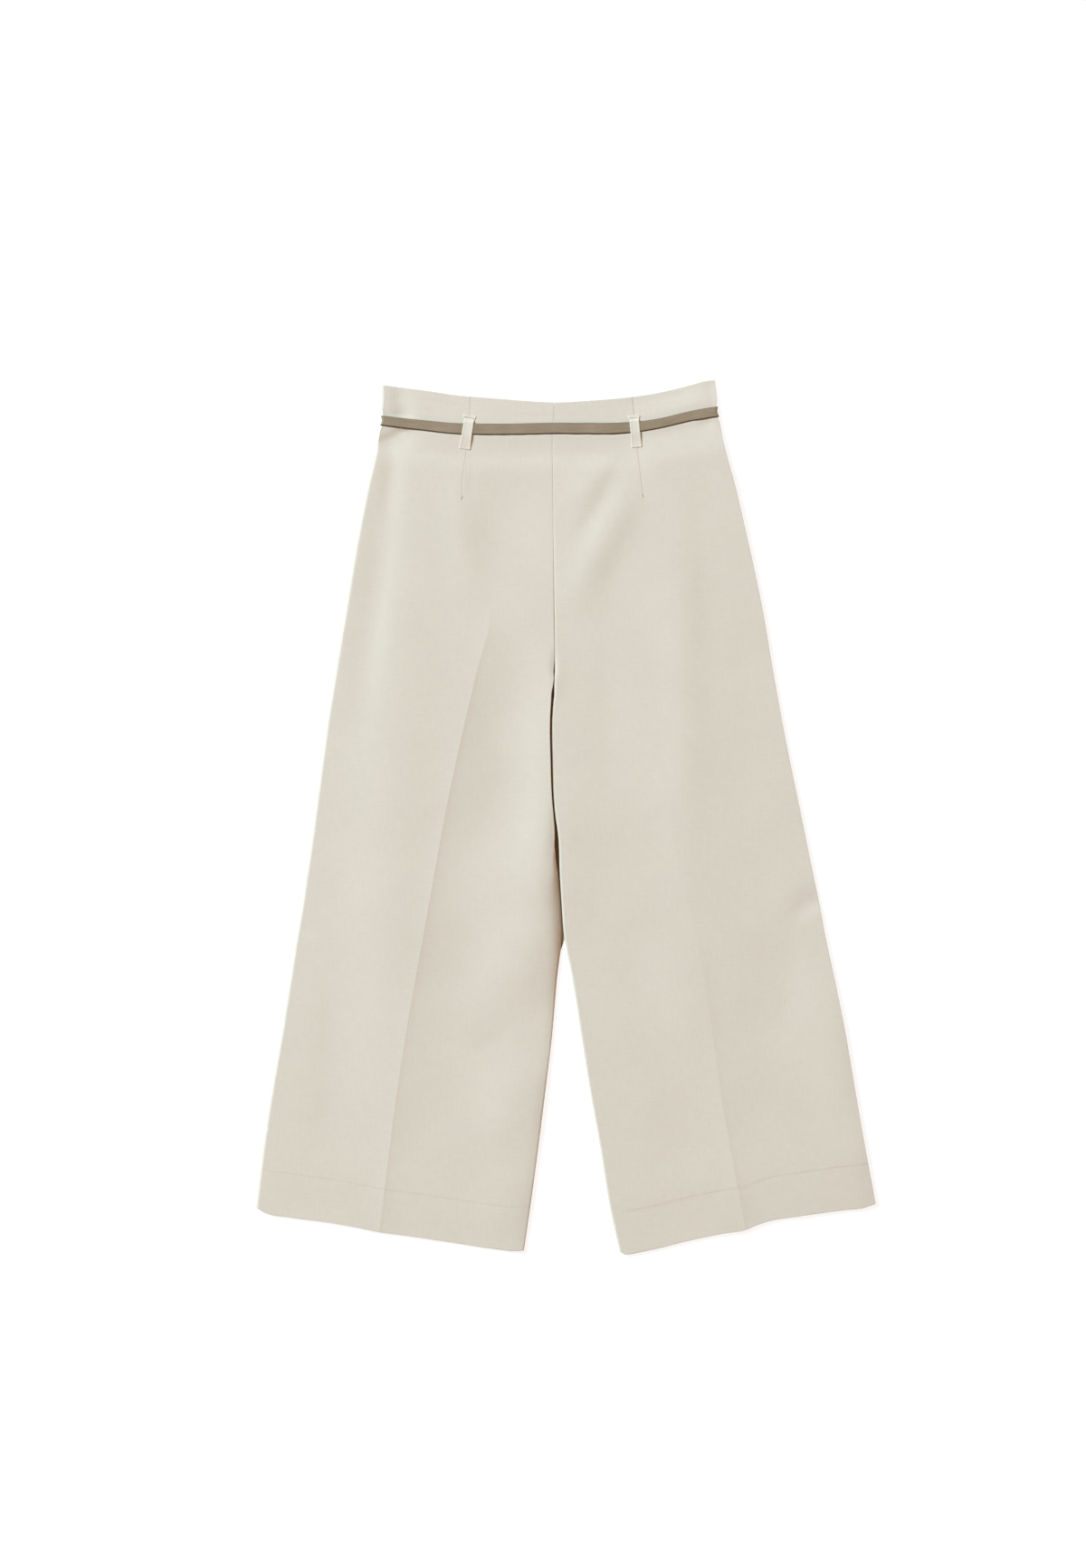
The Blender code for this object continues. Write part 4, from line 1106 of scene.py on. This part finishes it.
def strap_material():
    """Matte strap: fine grain on its face, and darker painted edges, the lower one much darker as painted
    shadow where the strap stands above the cloth.
    """
    n = Nodes("taupe strap", roughness=0.66, specular=0.3)
    place = n.threads()
    offset = n.axis(place, 1)
    grain = n.noise(place, 700.0, 4.0)
    lines = n.noise(place, 600.0, 2.0, stretch=(0.08, 1.0, 1.0))
    tone = n.weighted((grain, 0.3), (lines, 0.35), (n.noise(place, 26.0, 3.0), 0.35))
    face = n.mixed(n.ranged(tone, 0.38, 0.62), shade(STRAP_DARK), shade(STRAP_LIGHT))
    upper, lower = (n.ranged(offset, *(p * MM for p in places)) for places in (UPPER_PAINT, LOWER_PAINT_AND_SHADOW))
    edged = n.mixed(upper, face, shade(STRAP_UPPER_EDGE))
    # The lower edge is edge paint and painted shadow together.
    return n.finish(n.mixed(lower, edged, shade(STRAP_LOWER_EDGE_AND_SHADOW)), grain, 0.35, 0.1)


def thread_material():
    """Spun sewing thread with a fine twist, its colour painted darker than the cloth as painted shade at the
    bar tacks' outlines and the darts' tips.
    """
    n = Nodes("sewing thread", roughness=0.7, specular=0.3)
    twist = n.noise(n.threads(), 2400.0, 2.0)
    return n.finish(n.mixed(twist, shade(THREAD_SHADED_DARK), shade(THREAD_SHADED_LIGHT)), twist, 0.3, 0.05)


# ---- Stage ----

PHOTO_SCALE = 0.95  # millimetres of the garment's plane in one pixel of the 1200 by 1732 frame
VIEW_CENTRE = Point(-23.75, 34.65)
FRAME_HEIGHT = 1732 * PHOTO_SCALE
LENS = 85.0
SENSOR = 36.0
FLOOR_SIZE = 8.0  # metres, like the lamp's distance and size

Lamp = namedtuple("Lamp", "name east north elevation distance size power colour")
KEY = Lamp("key", -0.80, 0.60, 38.0, 14.0, 5.6, 2740.0, (0.755, 1.0, 1.14))


def lamp(row):
    light = bpy.data.lights.new(row.name, "AREA")
    light.shape = "SQUARE"
    light.size = row.size
    light.energy = row.power
    light.color = row.colour
    made = bpy.data.objects.new(row.name, light)
    flat = row.distance * math.cos(math.radians(row.elevation))
    place = Vector((row.east * flat, row.north * flat, row.distance * math.sin(math.radians(row.elevation))))
    made.location = place
    made.rotation_mode = "QUATERNION"
    made.rotation_quaternion = (-place).to_track_quat("-Z", "Y")
    bpy.context.scene.collection.objects.link(made)


def stage():
    """The floor, which glows a little as a studio's white ground does, the camera, the sky and the lamp."""
    bpy.ops.mesh.primitive_plane_add(size=FLOOR_SIZE, location=(0.0, 0.0, 0.0))
    floor = bpy.context.object
    floor.name = "floor"
    n = Nodes("pale floor", roughness=0.95, specular=0.05)
    colours = {"Base Color": (0.25, 0.25, 0.25, 1.0), "Emission Color": (1.0, 1.0, 1.0, 1.0)}
    n.give(n.shader, {**colours, "Emission Strength": 0.84})
    floor.data.materials.append(n.material)

    camera = bpy.data.objects.new("camera", bpy.data.cameras.new("camera"))
    bpy.context.scene.collection.objects.link(camera)
    camera.data.lens = LENS
    camera.data.sensor_width = SENSOR
    camera.data.clip_end = 20.0
    camera.location = (VIEW_CENTRE.x * MM, VIEW_CENTRE.y * MM, FRAME_HEIGHT * MM * LENS / SENSOR)
    bpy.context.scene.camera = camera

    world = bpy.data.worlds.new("studio")
    world.use_nodes = True
    sky = world.node_tree.nodes["Background"].inputs
    sky["Color"].default_value = (1.66, 1.0, 0.60, 1.0)
    sky["Strength"].default_value = 0.27
    bpy.context.scene.world = world
    bpy.context.scene.view_settings.view_transform = "Standard"
    lamp(KEY)


# ---- Putting it together ----

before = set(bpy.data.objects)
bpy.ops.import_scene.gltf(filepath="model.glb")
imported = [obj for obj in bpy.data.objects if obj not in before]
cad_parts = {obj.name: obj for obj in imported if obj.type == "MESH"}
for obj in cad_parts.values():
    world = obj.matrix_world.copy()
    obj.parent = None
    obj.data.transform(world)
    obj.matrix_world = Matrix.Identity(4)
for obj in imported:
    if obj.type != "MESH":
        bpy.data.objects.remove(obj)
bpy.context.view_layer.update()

cloth = woven("cream cloth", (0.648, 0.597, 0.514))
# The loops are the same cream cloth, with the colour painted lighter as a painted highlight where the
# doubled strip faces the lamp.
loop_cloth_painted_lighter = woven("cream cloth of the loops", (0.69, 0.64, 0.556))
# The wrong side is the same cream cloth, painted dark brown as painted shade for the crevices between the
# legs and the layers.
reverse_painted_shade = woven("wrong side of the cloth, painted dark as shade", (0.27, 0.175, 0.09))
strap = strap_material()
thread = thread_material()

for leg in LEGS:
    back = back_shell(leg, (cloth, reverse_painted_shade))
    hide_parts(f"back_{leg.name}_panel")
    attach(back, "root")
    front = front_shell(leg, (cloth, reverse_painted_shade))
    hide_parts(f"front_{leg.name}_panel")
    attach(front, "root")

band, belt_top = belt(strap)
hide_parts("belt")
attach(band, "root")
for loop in LOOPS:
    strip = belt_loop(loop, belt_top, loop_cloth_painted_lighter)
    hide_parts(loop.node)
    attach(strip, "root")
    tack = tack_threads(loop, thread)
    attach(tack, "root")

stitching = dart_threads(thread)
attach(stitching, "root")

stage()
